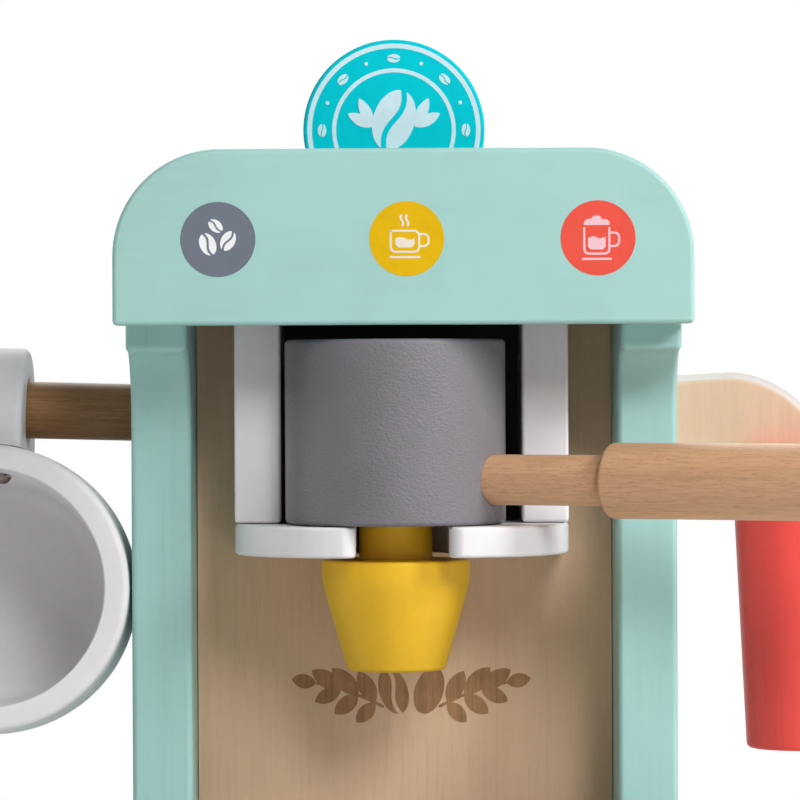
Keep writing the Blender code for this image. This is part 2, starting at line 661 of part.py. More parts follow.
def mug_group(carrier):
    """The mug, its ear and its screws hang together on the peg; the carrier is at the ear's hole."""
    to_axis = Matrix.Translation((0, -MUG_MOUTH_REACH, -MUG_AXIS_DROP)) @ Matrix.Rotation(
        -math.pi / 2, 4, "X"
    )
    lip = MUG_LIP_ROUNDING
    base = MUG_BASE_ROUNDING
    side = mug_side_profile(0)
    profile = [(0, MUG_LENGTH - MUG_FLOOR)]
    floor_corner = (
        MUG_BORE_END_RADIUS - MUG_BORE_ROUNDING,
        MUG_LENGTH - MUG_FLOOR - MUG_BORE_ROUNDING,
    )
    profile += arc(floor_corner, MUG_BORE_ROUNDING, 90, 0, CORNER_STEPS)
    inner = MUG_INNER_LIP_ROUNDING
    profile += arc((MUG_BORE_RADIUS + inner, inner), inner, 180, 270, END_ROUNDING_STEPS)
    profile += arc((side[0][0] - lip, lip), lip, 270, 360, CORNER_STEPS)
    profile += side[1:-1]
    profile += arc((side[-1][0] - base, MUG_LENGTH - base), base, 0, 90, CORNER_STEPS)
    profile.append((0, MUG_LENGTH))
    mesh_data = turned(profile)
    bmesh.ops.transform(mesh_data, matrix=to_axis, verts=mesh_data.verts)
    mug = piece("mug", mesh_data, "white_paint", parent=carrier)

    half = EAR_THICKNESS / 2
    foot = -MUG_AXIS_DROP + MUG_BORE_RADIUS
    centre = (0, -EAR_CENTRE_DROP)
    outline = [(-EAR_RADIUS, foot), (EAR_RADIUS, foot)]
    outline += arc(centre, EAR_RADIUS, 0, 180, DOWEL_STEPS)
    ear = piece("mug_ear", slab(outline, "X", -half, half), "white_paint", parent=carrier)
    ease_edges(ear, EAR_EDGE_RADIUS)
    hole_half = half + CUT_OVERRUN
    hole_cutter = piece(
        "ear_hole_cutter",
        turned(plain_rod(EAR_HOLE_RADIUS, -hole_half, hole_half), DOWEL_STEPS),
        rotation=(0, math.pi / 2, 0),
        parent=carrier,
    )
    cut(ear, hole_cutter)
    seat = mug_side_profile(FIT_GAP)
    seat_profile = [(0, -CUT_OVERRUN), (seat[0][0], -CUT_OVERRUN)] + seat
    seat_profile += [(seat[-1][0], MUG_LENGTH + CUT_OVERRUN), (0, MUG_LENGTH + CUT_OVERRUN)]
    mesh_data = turned(seat_profile)
    bmesh.ops.transform(mesh_data, matrix=to_axis, verts=mesh_data.verts)
    cut(ear, piece("mug_seat_cutter", mesh_data, parent=carrier))
    mug_screws(mug, ear, carrier)


def mug_screws(mug, ear, carrier):
    """Two round-head screws, driven up from inside the mug into the ear, one on each side of its middle."""
    middle = -MUG_MOUTH_REACH + MUG_LENGTH / 2
    slope = (MUG_BORE_RADIUS - MUG_BORE_END_RADIUS) / MUG_LENGTH
    length = DOME_SCREW_LENGTH
    profile = [
        (DOME_HEAD_RADIUS * share, -DOME_HEAD_HEIGHT * math.sqrt(1 - share * share))
        for share in DOME_STEP_SHARES
    ]
    profile += [(DOME_SCREW_RADIUS, 0), (DOME_SCREW_RADIUS, length - DOME_SCREW_RADIUS), (0, length)]
    hole = plain_rod(DOME_SCREW_RADIUS + FIT_GAP, -DOME_HEAD_RADIUS, length + FIT_GAP)
    for number, direction in enumerate((-1, 1)):
        along = middle + direction * MUG_SCREW_PITCH / 2
        bore = MUG_BORE_RADIUS - slope * (along + DOME_HEAD_RADIUS + MUG_MOUTH_REACH)
        corner = MUG_SCREW_STAGGER + DOME_HEAD_RADIUS
        seat = math.sqrt((bore * BORE_FACET_SHARE) ** 2 - corner**2) - FIT_GAP
        place = (-direction * MUG_SCREW_STAGGER, along, seat - MUG_AXIS_DROP)
        shape = turned(profile, SMALL_ROUND_STEPS)
        piece(f"mug_screw_{number + 1}", shape, "screw_steel", place, parent=carrier)
        shape = turned(hole, SMALL_ROUND_STEPS)
        cutter = piece(f"mug_screw_hole_cutter_{number + 1}", shape, None, place, parent=carrier)
        cut(mug, cutter)
        cut(ear, cutter)


def wing_board():
    """A board on the right panel with a large round outer end, which carries the wand's pivot."""
    reach = PANEL_OUTER_X + WING_REACH
    radius = WING_ARC_RADIUS
    peak = WING_INNER_TOP + WING_TOP_LIFT
    centre = (reach - radius, peak - radius)
    lower = WING_LOWER_RADIUS
    outline = [(WING_INNER_X, WING_BOTTOM)]
    outline += arc((reach - lower, WING_BOTTOM + lower), lower, -90, 0, CORNER_STEPS)
    outline += arc(centre, radius, 0, WING_ARC_DEGREES, WIDE_CORNER_STEPS)
    outline.append((WING_INNER_X, WING_INNER_TOP))
    front = WING_Y - WING_THICKNESS / 2
    board = piece(
        "wing_board", slab(outline, "Y", front, front + WING_THICKNESS), "natural_plywood"
    )
    ease_edges(board, WING_EDGE_RADIUS)
    hole = turned(plain_rod(PIVOT_RADIUS + FIT_GAP, -WING_THICKNESS, WING_THICKNESS), SMALL_ROUND_STEPS)
    place = (PIVOT_X, WING_Y, PIVOT_Z)
    cut(board, piece("pivot_hole_cutter", hole, location=place, rotation=aimed((0, 1, 0))))
    return board


def frother_wand(carrier):
    """A tapered turned piece whose slotted top straddles the wing board, hung on the pivot."""
    top = WAND_ABOVE_PIVOT
    tip = -WAND_BELOW_PIVOT
    top_rounding = WAND_TOP_ROUNDING
    tip_rounding = WAND_TIP_ROUNDING
    profile = [(0, tip)]
    steps = END_ROUNDING_STEPS
    profile += arc((WAND_TIP_RADIUS - tip_rounding, tip + tip_rounding), tip_rounding, -90, 0, steps)
    profile += arc((WAND_RADIUS - top_rounding, top - top_rounding), top_rounding, 0, 90, CORNER_STEPS)
    profile.append((0, top))
    wand = piece("frother_wand", turned(profile), "red_paint", parent=carrier)
    slot = rectangle(-WAND_RADIUS * 2, WAND_RADIUS * 2, -CLEVIS_HALF_GAP, CLEVIS_HALF_GAP)
    mesh_data = slab(slot, "Z", -CLEVIS_DEPTH_BELOW_PIVOT, top + CUT_OVERRUN)
    cut(wand, piece("clevis_cutter", mesh_data, parent=carrier))
    hole_cutter = piece(
        "wand_pivot_cutter",
        turned(plain_rod(PIVOT_RADIUS + FIT_GAP, -WAND_RADIUS * 2, WAND_RADIUS * 2), SMALL_ROUND_STEPS),
        rotation=(math.pi / 2, 0, 0),
        parent=carrier,
    )
    cut(wand, hole_cutter)
    half = math.sqrt(WAND_RADIUS**2 - PIVOT_RADIUS**2) - PIVOT_PIN_INSET
    pin_profile = rod_profile(PIVOT_RADIUS, -half, half, SCREW_HEAD_SINK, SCREW_HEAD_SINK, 1)
    piece(
        "frother_pin",
        turned(pin_profile, SMALL_ROUND_STEPS),
        "natural_beech",
        location=(PIVOT_X, WING_Y, PIVOT_Z),
        rotation=(math.pi / 2, 0, 0),
    )


def screw_shape(length):
    """A countersunk screw along +Z, its head's flat at 0, with a round drive recess."""
    head_depth = SCREW_HEAD_RADIUS - SCREW_RADIUS
    profile = [(0, SCREW_RECESS_DEPTH), (SCREW_RECESS_RADIUS, SCREW_RECESS_DEPTH)]
    profile += [(SCREW_RECESS_RADIUS, 0), (SCREW_HEAD_RADIUS, 0), (SCREW_RADIUS, head_depth)]
    profile += [(SCREW_RADIUS, length - SCREW_RADIUS), (0, length)]
    return turned(profile, SMALL_ROUND_STEPS)


def screw_hole_shape(length):
    """The countersunk hole of such a screw, with its clearance, open below 0."""
    wide = SCREW_HEAD_RADIUS + FIT_GAP
    narrow = SCREW_RADIUS + FIT_GAP
    sink = -SCREW_HEAD_SINK
    profile = [(0, sink - CUT_OVERRUN), (wide, sink - CUT_OVERRUN), (wide, 0)]
    profile += [(narrow, wide - narrow), (narrow, length + FIT_GAP), (0, length + FIT_GAP)]
    return turned(profile, SMALL_ROUND_STEPS)


def screw_row(name, starts, direction, drilled, length=SCREW_LENGTH):
    """Numbered screws of one kind, each sunk a little below the face that it starts from."""
    for number, start in enumerate(starts):
        sunk = Vector(start) + Vector(direction) * SCREW_HEAD_SINK
        turn = aimed(direction)
        piece(f"{name}_{number + 1}", screw_shape(length), "screw_steel", sunk, rotation=turn)
        cutter = piece(
            f"{name}_hole_cutter_{number + 1}",
            screw_hole_shape(length),
            location=sunk,
            rotation=turn,
        )
        for obj in drilled[number % len(drilled)]:
            cut(obj, cutter)


def header_dowels(header, left_panel, right_panel):
    """Four hidden dowels that hold the header to the front edges of the side panels."""
    start_y = -HEADER_FRONT + HEADER_THICKNESS - HEADER_DOWEL_IN_HEADER
    heights = (HEADER_BOTTOM + HEADER_DOWEL_INSET, PANEL_TOP - PANEL_TOP_RADIUS)
    turn = aimed((0, 1, 0))
    eased = DOWEL_EDGE_RADIUS
    dowel = rod_profile(HEADER_DOWEL_RADIUS, 0, HEADER_DOWEL_LENGTH, eased, eased, 1)
    hole = plain_rod(HEADER_DOWEL_RADIUS + FIT_GAP, -FIT_GAP, HEADER_DOWEL_LENGTH + FIT_GAP)
    for side, panel, word in ((-1, left_panel, "left"), (1, right_panel, "right")):
        for number, z in enumerate(heights):
            place = (side * PANEL_MIDDLE_X, start_y, z)
            name = f"header_dowel_{word}_{number + 1}"
            shape = turned(dowel, SMALL_ROUND_STEPS)
            piece(name, shape, "natural_beech", place, rotation=turn)
            shape = turned(hole, SMALL_ROUND_STEPS)
            cutter = piece(name + "_hole_cutter", shape, location=place, rotation=turn)
            cut(header, cutter)
            cut(panel, cutter)


def main():
    clear_scene()
    base = base_board()
    left_panel = side_panel("left_side_panel", -1)
    right_panel = side_panel("right_side_panel", 1)
    header = header_board()
    top_board()
    back = back_board()
    backing_panel()
    drip_tray()
    left_post = hanger("left_hanger", -1)
    right_post = hanger("right_hanger", 1)
    plate = fork_plate()

    head_carrier = empty("handle_turn_axis", (FILTER_X, FILTER_Y, HEAD_FOOT))
    filter_head(head_carrier)
    handle(head_carrier)
    spout_carrier = empty("filter_slide_axis", (FILTER_X, FILTER_Y, SPOUT_TOP))
    filter_spout(spout_carrier)
    coffee_pod()

    mug_peg(left_panel)
    tilt = math.radians(PEG_TILT_DEGREES)
    out = -MUG_X - PANEL_OUTER_X - MUG_AXIS_DROP * math.sin(tilt)
    drop = PEG_RADIAL_CLEARANCE - FIT_GAP
    hang = empty(
        "mug_hang",
        (-PANEL_OUTER_X - out, PEG_Y, PEG_Z_AT_PANEL + out * math.tan(tilt) - drop),
        (0, tilt, 0),
    )
    tip = empty("mug_tilt", (0, 0, 0), (-math.radians(MUG_TILT_DEGREES), 0, 0), parent=hang)
    mug_group(tip)

    wing = wing_board()
    frother_wand(empty("wand_pivot", (PIVOT_X, WING_Y, PIVOT_Z)))

    under_starts = [
        (side * PANEL_MIDDLE_X, y, 0)
        for side in (-1, 1)
        for y in (-LIP_FRONT / 2, 0, PANEL_REAR / 2)
    ]
    under_drilled = [[base, left_panel]] * 3 + [[base, right_panel]] * 3
    screw_row("base_screw", under_starts, (0, 0, 1), under_drilled)

    back_face = BACK_FRONT_FACE + BACK_THICKNESS
    post_x = HANGER_HALF_GAP + HANGER_WIDTH / 2
    rear_heights = (PLATE_TOP + HANGER_SCREW_RISE, CEILING - HANGER_SCREW_DROP)
    rear_starts = [
        (FORK_CENTRE_X + side * post_x, back_face, z) for side in (-1, 1) for z in rear_heights
    ]
    rear_drilled = [[back, left_post]] * 2 + [[back, right_post]] * 2
    screw_row("hanger_screw", rear_starts, (0, -1, 0), rear_drilled)

    plate_y = BACK_FRONT_FACE / 2
    plate_starts = [(FORK_CENTRE_X + side * post_x, plate_y, PLATE_UNDERSIDE) for side in (-1, 1)]
    screw_row("fork_plate_screw", plate_starts, (0, 0, 1), [[plate, left_post], [plate, right_post]])

    wing_low = WING_BOTTOM + WING_SCREW_INSET
    wing_high = WING_INNER_TOP - WING_SCREW_INSET
    wing_starts = [(PANEL_INNER_X, WING_Y, z) for z in (wing_low, wing_high)]
    wing_screw = PANEL_THICKNESS + WING_THICKNESS
    screw_row("wing_screw", wing_starts, (1, 0, 0), [[right_panel, wing]], wing_screw)
    header_dowels(header, left_panel, right_panel)


main()
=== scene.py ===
"""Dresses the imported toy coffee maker: painted boards, turned wood, prints, light and camera.

Lengths are in metres, in the CAD model's own frame, so each piece is built where it stands.
"""

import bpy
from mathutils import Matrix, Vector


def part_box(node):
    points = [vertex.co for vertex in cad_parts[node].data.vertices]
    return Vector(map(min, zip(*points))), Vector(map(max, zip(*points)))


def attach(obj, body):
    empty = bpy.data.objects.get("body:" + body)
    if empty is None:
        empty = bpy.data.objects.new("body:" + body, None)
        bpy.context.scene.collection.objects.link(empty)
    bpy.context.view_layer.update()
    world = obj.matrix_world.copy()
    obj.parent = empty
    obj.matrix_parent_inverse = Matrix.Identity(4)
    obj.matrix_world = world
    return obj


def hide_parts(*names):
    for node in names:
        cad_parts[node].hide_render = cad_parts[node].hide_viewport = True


bl_info = {
    "name": "Toy Coffee Maker",
    "version": (1, 0, 0),
    "blender": (4, 5, 0),
    "location": "3D View > Sidebar > Coffee Maker",
    "description": "Builds the finished pieces of a wooden toy coffee maker over its CAD frame",
    "category": "Object",
}

import math

import bmesh
import bpy
from mathutils import Euler, Matrix, Vector

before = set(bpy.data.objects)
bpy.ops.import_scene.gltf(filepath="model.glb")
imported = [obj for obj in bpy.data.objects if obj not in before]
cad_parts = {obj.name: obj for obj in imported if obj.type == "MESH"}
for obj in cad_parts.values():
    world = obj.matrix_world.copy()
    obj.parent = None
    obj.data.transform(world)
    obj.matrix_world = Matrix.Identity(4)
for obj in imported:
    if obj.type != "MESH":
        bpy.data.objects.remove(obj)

# Fits and steps
SEAM = 0.0003
PRINT_LIFT = 0.00006
PRINT_SINK = 0.0004
PRINT_STEP = 0.000004
FINE_STEPS = 128
ROD_STEPS = 96
CORNER_STEPS = 24
SHARP_ANGLE = math.radians(32)
QUARTER = math.pi / 2

# Lines that the CAD model's boxes do not give
FILTER_X = -0.0026
FILTER_Y = -0.006
HANDLE_TURN = math.radians(-27.0)
HANDLE_Z = 0.1531
PEG_TILT = math.radians(1.53)
MUG_TILT = math.radians(4.4)
MUG_HANG = Vector((-0.12482, 0.035, 0.17337))
WAND_PIVOT = Vector((0.1213, 0.026, 0.1565))

# The user's values: name, description and default. Colours are linear.
SIZES = (
    ("panel_easing", "Radius of the side panels' edges", 0.0018),
    ("board_easing", "Radius of the header's and base's edges", 0.0014),
    ("fork_easing", "Radius of the edges of the hangers and fork plate", 0.0010),
    ("ply_thickness", "Thickness of one veneer of the plywood", 0.0016),
    ("print_radius", "Radius of each printed disc on the header", 0.01095),
    ("print_stroke", "Width of the drawn lines on the header", 0.00064),
    ("grain_depth", "Height of the wood grain under the lacquer", 0.00012),
)
COLOURS = (
    ("mint", "Paint of the boards and panels", (0.385, 0.645, 0.605)),
    # The mug gets this white made a little darker, a painted shade.
    ("white", "Paint of the mug, hangers and fork", (0.865, 0.845, 0.860)),
    ("gray", "Paint of the filter head and tray", (0.205, 0.192, 0.210)),
    ("yellow", "Paint of the spout", (0.945, 0.545, 0.022)),
    ("red", "Paint of the frother wand", (0.985, 0.090, 0.076)),
    ("turquoise", "Paint of the coffee pod", (0.002, 0.600, 0.690)),
    # The backing's black is a painted shade: it darkens the cavity behind the filter head.
    ("black", "Paint of the backing panel", (0.006, 0.006, 0.006)),
    ("birch", "Face of the natural plywood", (0.840, 0.575, 0.375)),
    ("wing_birch", "Face of the wing's plywood", (0.780, 0.555, 0.385)),
    ("beech", "Dowels of the handle", (0.745, 0.430, 0.243)),
    ("dark_beech", "Dowel that the mug hangs on", (0.400, 0.205, 0.090)),
    ("burn", "Burned mark on the back board", (0.440, 0.240, 0.115)),
    ("steel", "Screw heads", (0.250, 0.205, 0.190)),
    ("bean_disc", "Left printed disc", (0.165, 0.188, 0.232)),
    ("cup_disc", "Middle printed disc", (0.790, 0.475, 0.001)),
    ("glass_disc", "Right printed disc", (0.850, 0.095, 0.062)),
    ("ink", "Drawings on the discs", (0.925, 0.930, 0.925)),
    ("cup_ink", "Drawing on the middle disc", (0.860, 0.790, 0.660)),
    ("glass_ink", "Drawing on the right disc", (0.900, 0.560, 0.610)),
    ("pod_ink", "Rings and beans on the pod", (0.660, 0.840, 0.900)),
)


def fields(rows, kind, **shared):
    """The properties of a group, each labelled after its name."""
    return {
        name: kind(
            name=name.replace("_", " ").capitalize(), description=text, default=default, **shared
        )
        for name, text, default in rows
    }


class CoffeeMakerSizes(bpy.types.PropertyGroup):
    """Sizes of the finish, over the lengths that the CAD model fixes."""

    __annotations__ = fields(SIZES, bpy.props.FloatProperty, unit="LENGTH")


class CoffeeMakerColours(bpy.types.PropertyGroup):
    """Colours of the paints, prints and lacquered woods."""

    __annotations__ = fields(
        COLOURS, bpy.props.FloatVectorProperty, subtype="COLOR", size=3, min=0, max=1
    )


class Value:
    """A socket in an expression: each operator adds its own Math node."""

    def __init__(self, nodes, socket):
        self.nodes = nodes
        self.socket = socket

    def __add__(self, other):
        return self.nodes.math("ADD", self, other)

    def __radd__(self, other):
        return self.nodes.math("ADD", other, self)

    def __sub__(self, other):
        return self.nodes.math("SUBTRACT", self, other)

    def __rsub__(self, other):
        return self.nodes.math("SUBTRACT", other, self)

    def __mul__(self, other):
        return self.nodes.math("MULTIPLY", self, other)

    def __truediv__(self, other):
        return self.nodes.math("DIVIDE", self, other)

    def between(self, low, high):
        """0 below low and 1 above high, with a smooth rise."""
        return self.nodes.node(
            "ShaderNodeMapRange",
            {"interpolation_type": "SMOOTHSTEP"},
            {"Value": self, "From Min": low, "From Max": high},
        )

    def wave(self):
        return self.nodes.math("SINE", self)

    def size(self):
        return self.nodes.math("ABSOLUTE", self)

    def fraction(self):
        return self.nodes.math("FRACT", self)


class Nodes:
    """A node tree under construction."""

    def __init__(self, tree):
        self.tree = tree

    def node(self, kind, settings=None, inputs=None, output=0):
        """Adds one node. Settings come first, then values and links of its sockets."""
        made = self.tree.nodes.new(kind)
        for key, setting in (settings or {}).items():
            setattr(made, key, setting)
        for key, given in (inputs or {}).items():
            self.feed(made.inputs[key], given)
        return Value(self, made.outputs[output])

    def feed(self, socket, given):
        if isinstance(given, Value):
            self.tree.links.new(given.socket, socket)
        elif socket.type == "RGBA" and len(given) == 3:
            socket.default_value = (*given, 1)
        else:
            socket.default_value = given

    def math(self, operation, *given, **settings):
        settings["operation"] = operation
        return self.node("ShaderNodeMath", settings, dict(enumerate(given)))

    def seen_directly(self):
        """1 for rays from the camera and for those that a gloss or glass sends on."""
        camera, gloss, glass = (
            self.node("ShaderNodeLightPath", output=f"Is {name} Ray")
            for name in ("Camera", "Glossy", "Transmission")
        )
        return self.math("ADD", camera + gloss, glass, use_clamp=True)


class Finish(Nodes):
    """A material under construction, around its Principled shader."""

    def __init__(self, name, roughness=0.5, metallic=0.0, coat=0.0, sheen=0.2):
        self.material = bpy.data.materials.new(name)
        self.material.use_nodes = True
        super().__init__(self.material.node_tree)
        self.shader = self.tree.nodes["Principled BSDF"]
        constants = {
            "Roughness": roughness, "Metallic": metallic, "Specular IOR Level": sheen,
            "Coat Weight": coat, "Coat Roughness": 0.3,
        }
        for socket, value in constants.items():
            self.shader.inputs[socket].default_value = value

    def place(self, stretch=(1, 1, 1), turn=(0, 0, 0), centre=(0, 0, 0)):
        """Object coordinates, with the pattern centred, turned and then squeezed by axis."""
        point = self.node("ShaderNodeTexCoord", output="Object")
        if any(centre) or any(turn):
            point = self.node(
                "ShaderNodeMapping",
                {"vector_type": "TEXTURE"},
                {"Vector": point, "Location": centre, "Rotation": turn},
            )
        return self.node("ShaderNodeMapping", {}, {"Vector": point, "Scale": stretch})

    def part(self, vector, axis):
        return self.node("ShaderNodeSeparateXYZ", {}, {0: vector}, output=axis)

    def noise(self, scale, detail=3.0, roughness=0.55, distortion=0.0, **placing):
        """Noise of one scale, or of a scale for each axis, which can be turned and centred."""
        even = isinstance(scale, float)
        inputs = {
            "Vector": self.place() if even else self.place(scale, **placing),
            "Scale": scale if even else 1.0,
            "Detail": detail,
            "Roughness": roughness,
            "Distortion": distortion,
        }
        return self.node("ShaderNodeTexNoise", {}, inputs)

    def cells(self, point, feature, **inputs):
        inputs["Vector"] = point
        return self.node("ShaderNodeTexVoronoi", {"feature": feature}, inputs)

    def mixed(self, factor, first, second):
        inputs = {0: factor, 6: first, 7: second}
        return self.node("ShaderNodeMix", {"data_type": "RGBA"}, inputs, output=2)

    def clouded(self, cloud, colour, dark, light, low=0.3):
        """A colour that drifts between two shades of it."""
        return self.mixed(cloud.between(low, 1 - low), shade(colour, dark), shade(colour, light))

    def layered(self, tone, *layers):
        """A tone with colours laid over it in turn, each as strong as its factor."""
        for factor, colour in layers:
            tone = self.mixed(factor, tone, colour)
        return tone

    def edges(self, radius):
        """1 where the surface bends within the radius, as along an eased edge."""
        rounded = self.node("ShaderNodeBevel", {"samples": 4}, {"Radius": radius})
        plain = self.node("ShaderNodeNewGeometry", output="Normal")
        agree = self.node(
            "ShaderNodeVectorMath", {"operation": "DOT_PRODUCT"}, {0: rounded, 1: plain}, "Value"
        )
        return (1 - agree).between(0.004, 0.06)

    def bump(self, height, depth, strength=1.0):
        """Feeds a height of 0 to 1 to the shader's normal. Depth is its real height."""
        inputs = {"Height": height, "Distance": depth, "Strength": strength}
        self.feed(self.shader.inputs["Normal"], self.node("ShaderNodeBump", {}, inputs))

    def done(self, colour, roughness=None):
        self.feed(self.shader.inputs["Base Color"], colour)
        if roughness is not None:
            self.feed(self.shader.inputs["Roughness"], roughness)
        return self.material


def shade(colour, share):
    """A colour made darker or lighter by a share, kept at or under 1."""
    return tuple(min(1.0, part * share) for part in colour)


def browner(colour, share):
    """A wood colour made darker by a share, and warmer with it."""
    red, green, blue = colour
    return (red * share, green * share**1.2, blue * share**1.45)


def pale(colour, share):
    """A colour moved towards white by a share."""
    return tuple(part + (0.92 - part) * share for part in colour)


def painted_wood(name, colour, grain, roughness, peel, grain_show, sheen=0.2):
    """Satin paint over wood: the grain telegraphs through, and the roller leaves a fine peel.

    grain is the stretch of the grain pattern, small along the fibres. peel and grain_show are
    shares of the full depth. sheen is the strength of the gloss.
    """
    finish = Finish(name, roughness, coat=sheen * 0.4, sheen=sheen)
    fibres = finish.noise(grain, 5.0, 0.6, 0.15)
    cloud = finish.noise(38.0, 2.0)
    pimples = finish.noise(900.0, 3.0, 0.6)
    dust = finish.noise(2600.0, 1.0)
    # Eased edges are laid lighter: partly rubbed paint, partly a painted highlight where the edges
    # catch the light.
    rubbed_and_highlit_edges = finish.edges(0.0022)
    worn_and_highlit = finish.layered(
        finish.clouded(cloud, colour, 0.95, 1.03),
        (fibres.between(0.28, 0.55) * grain_show, shade(colour, 1.05)),
        (dust.between(0.70, 0.82) * 0.35, shade(colour, 0.80)),
        (rubbed_and_highlit_edges * cloud.between(0.40, 0.62) * 0.35, shade(colour, 1.22)),
    )
    finish.bump(fibres * grain_show * 0.6 + pimples * peel * 0.5, 0.00016, 0.55)
    return finish.done(worn_and_highlit, roughness - 0.06 + cloud * 0.10 + pimples * 0.08 - rubbed_and_highlit_edges * 0.06)


def cracked_paint(name, colour):
    """The thick satin paint of the filter head, pebbled like leather."""
    finish = Finish(name, 0.36, coat=0.1, sheen=0.3)
    streaks = finish.noise((150, 150, 14), 4.0, 0.6)
    pebble = finish.cells(
        finish.place((1, 1, 1.5)), "SMOOTH_F1", Scale=1000.0, Smoothness=0.6, Randomness=1.0
    )
    pimples = finish.node(
        "ShaderNodeTexNoise",
        {},
        {"Vector": finish.place((1, 1, 1.25)), "Scale": 1250.0, "Detail": 3.0, "Roughness": 0.6},
    )
    cloud = finish.noise(45.0)
    rubbed_and_highlit_edges = finish.edges(0.0018)
    worn_and_highlit = finish.layered(
        finish.clouded(cloud, colour, 0.93, 1.05),
        (streaks.between(0.40, 0.70) * 0.12, shade(colour, 1.10)),
        (pimples.between(0.44, 0.30) * 0.35, shade(colour, 0.86)),
        # Lighter eased edges: partly rubbed paint, partly a painted highlight.
        (rubbed_and_highlit_edges * pimples.between(0.45, 0.60) * 0.5, shade(colour, 1.5)),
    )
    finish.bump(pebble * 0.4 + pimples + streaks * 0.1, 0.00026)
    return finish.done(worn_and_highlit, 0.38 + cloud * 0.10 - pimples * 0.10)


def turned_paint(name, colour, centre, turn, along, contrast, sheen=0.2):
    """Satin paint on a turned piece: fibres along its axis, and fine rings of the tool.

    along is the stretch of the fibres. contrast is a share of the full depth and tone.
    """
    finish = Finish(name, 0.38, coat=sheen * 0.8, sheen=sheen)
    fibres = finish.noise(along, 5.0, 0.62, 0.2, turn=turn, centre=centre)
    pores = finish.noise(tuple(part * 3.2 for part in along), 2.0, turn=turn, centre=centre)
    cloud = finish.noise(42.0, 2.0)
    level = finish.part(finish.place((1, 1, 1), turn, centre), "Z")
    tool = (level * 5200.0 + cloud * 6.0).wave() * 0.5 + 0.5
    rubbed_and_highlit_edges = finish.edges(0.0020)
    worn_and_highlit = finish.layered(
        finish.clouded(cloud, colour, 1 - contrast * 0.08, 1 + contrast * 0.04),
        (fibres.between(0.52, 0.36) * (contrast * 0.42), shade(colour, 0.82)),
        (pores.between(0.66, 0.76) * (contrast * 0.5), shade(colour, 0.66)),
        # Lighter eased edges: partly rubbed paint, partly a painted highlight.
        (rubbed_and_highlit_edges * fibres.between(0.44, 0.62) * 0.3, shade(colour, 1.35)),
    )
    pimples = finish.noise(1100.0, 2.0)
    height = fibres * (contrast * 0.7) + tool * 0.05 + pores * (contrast * 0.2) + pimples * 0.22
    finish.bump(height, 0.00018, 0.7)
    return finish.done(worn_and_highlit, 0.36 + cloud * 0.10 + fibres * 0.08)


def birch_ply(name, colour, layers, layer_thickness, rim):
    """Lacquered birch plywood: a pale upright figure on the faces, veneers on the cut edges.

    layers is the Y of one face, from which the veneers are counted. rim is how strongly the eased
    edges are laid pale: partly sanded wood, partly a painted highlight where the rounding catches
    the light.
    """
    finish = Finish(name, 0.52, coat=0.06)
    warp = finish.noise((9, 9, 2.2), 2.0)
    figure = (finish.part(finish.place(), "X") * 260.0 + warp * 26.0).wave() * 0.5 + 0.5
    fibres = finish.noise((520, 520, 20), 5.0, 0.62, 0.25)
    pores = finish.noise((1500, 1500, 90), 2.0)
    cloud = finish.noise((30, 30, 10))
    depth = (finish.part(finish.place(), "Y") - layers) / layer_thickness
    stack = (depth * 0.5).fraction().between(0.46, 0.54)
    glue = (depth.fraction() - 0.5).size().between(0.44, 0.49)
    facing = finish.part(finish.node("ShaderNodeTexCoord", output="Normal"), "Y").size()
    edge = 1 - facing.between(0.55, 0.85)
    # Mask of the eased rounding, where a painted highlight is laid pale.
    eased_edge_highlight = facing.between(0.985, 0.86) * facing.between(0.05, 0.35)
    face = finish.layered(
        finish.clouded(cloud, colour, 0.93, 1.05),
        (figure * warp.between(0.3, 0.6) * 0.15, browner(colour, 0.88)),
        (fibres.between(0.58, 0.34) * 0.21, browner(colour, 0.80)),
        (pores.between(0.58, 0.74) * 0.20, browner(colour, 0.72)),
    )
    cut = finish.layered(
        finish.mixed(stack, shade(colour, 1.0), shade(colour, 0.62)),
        (glue * 0.7, shade(colour, 0.38)),
        (fibres.between(0.50, 0.30) * 0.35, shade(colour, 0.70)),
    )
    # The eased edges are laid pale: a painted highlight, partly sanded wood.
    worn_and_highlit = finish.layered(face, (edge, cut), (eased_edge_highlight * rim, shade(pale(colour, 0.75), 0.80)))
    finish.bump(fibres * 0.8 + pores * 0.3 - edge * glue * 0.5, 0.00010, 0.6)
    return finish.done(worn_and_highlit, 0.46 + fibres * 0.14 + edge * 0.08)


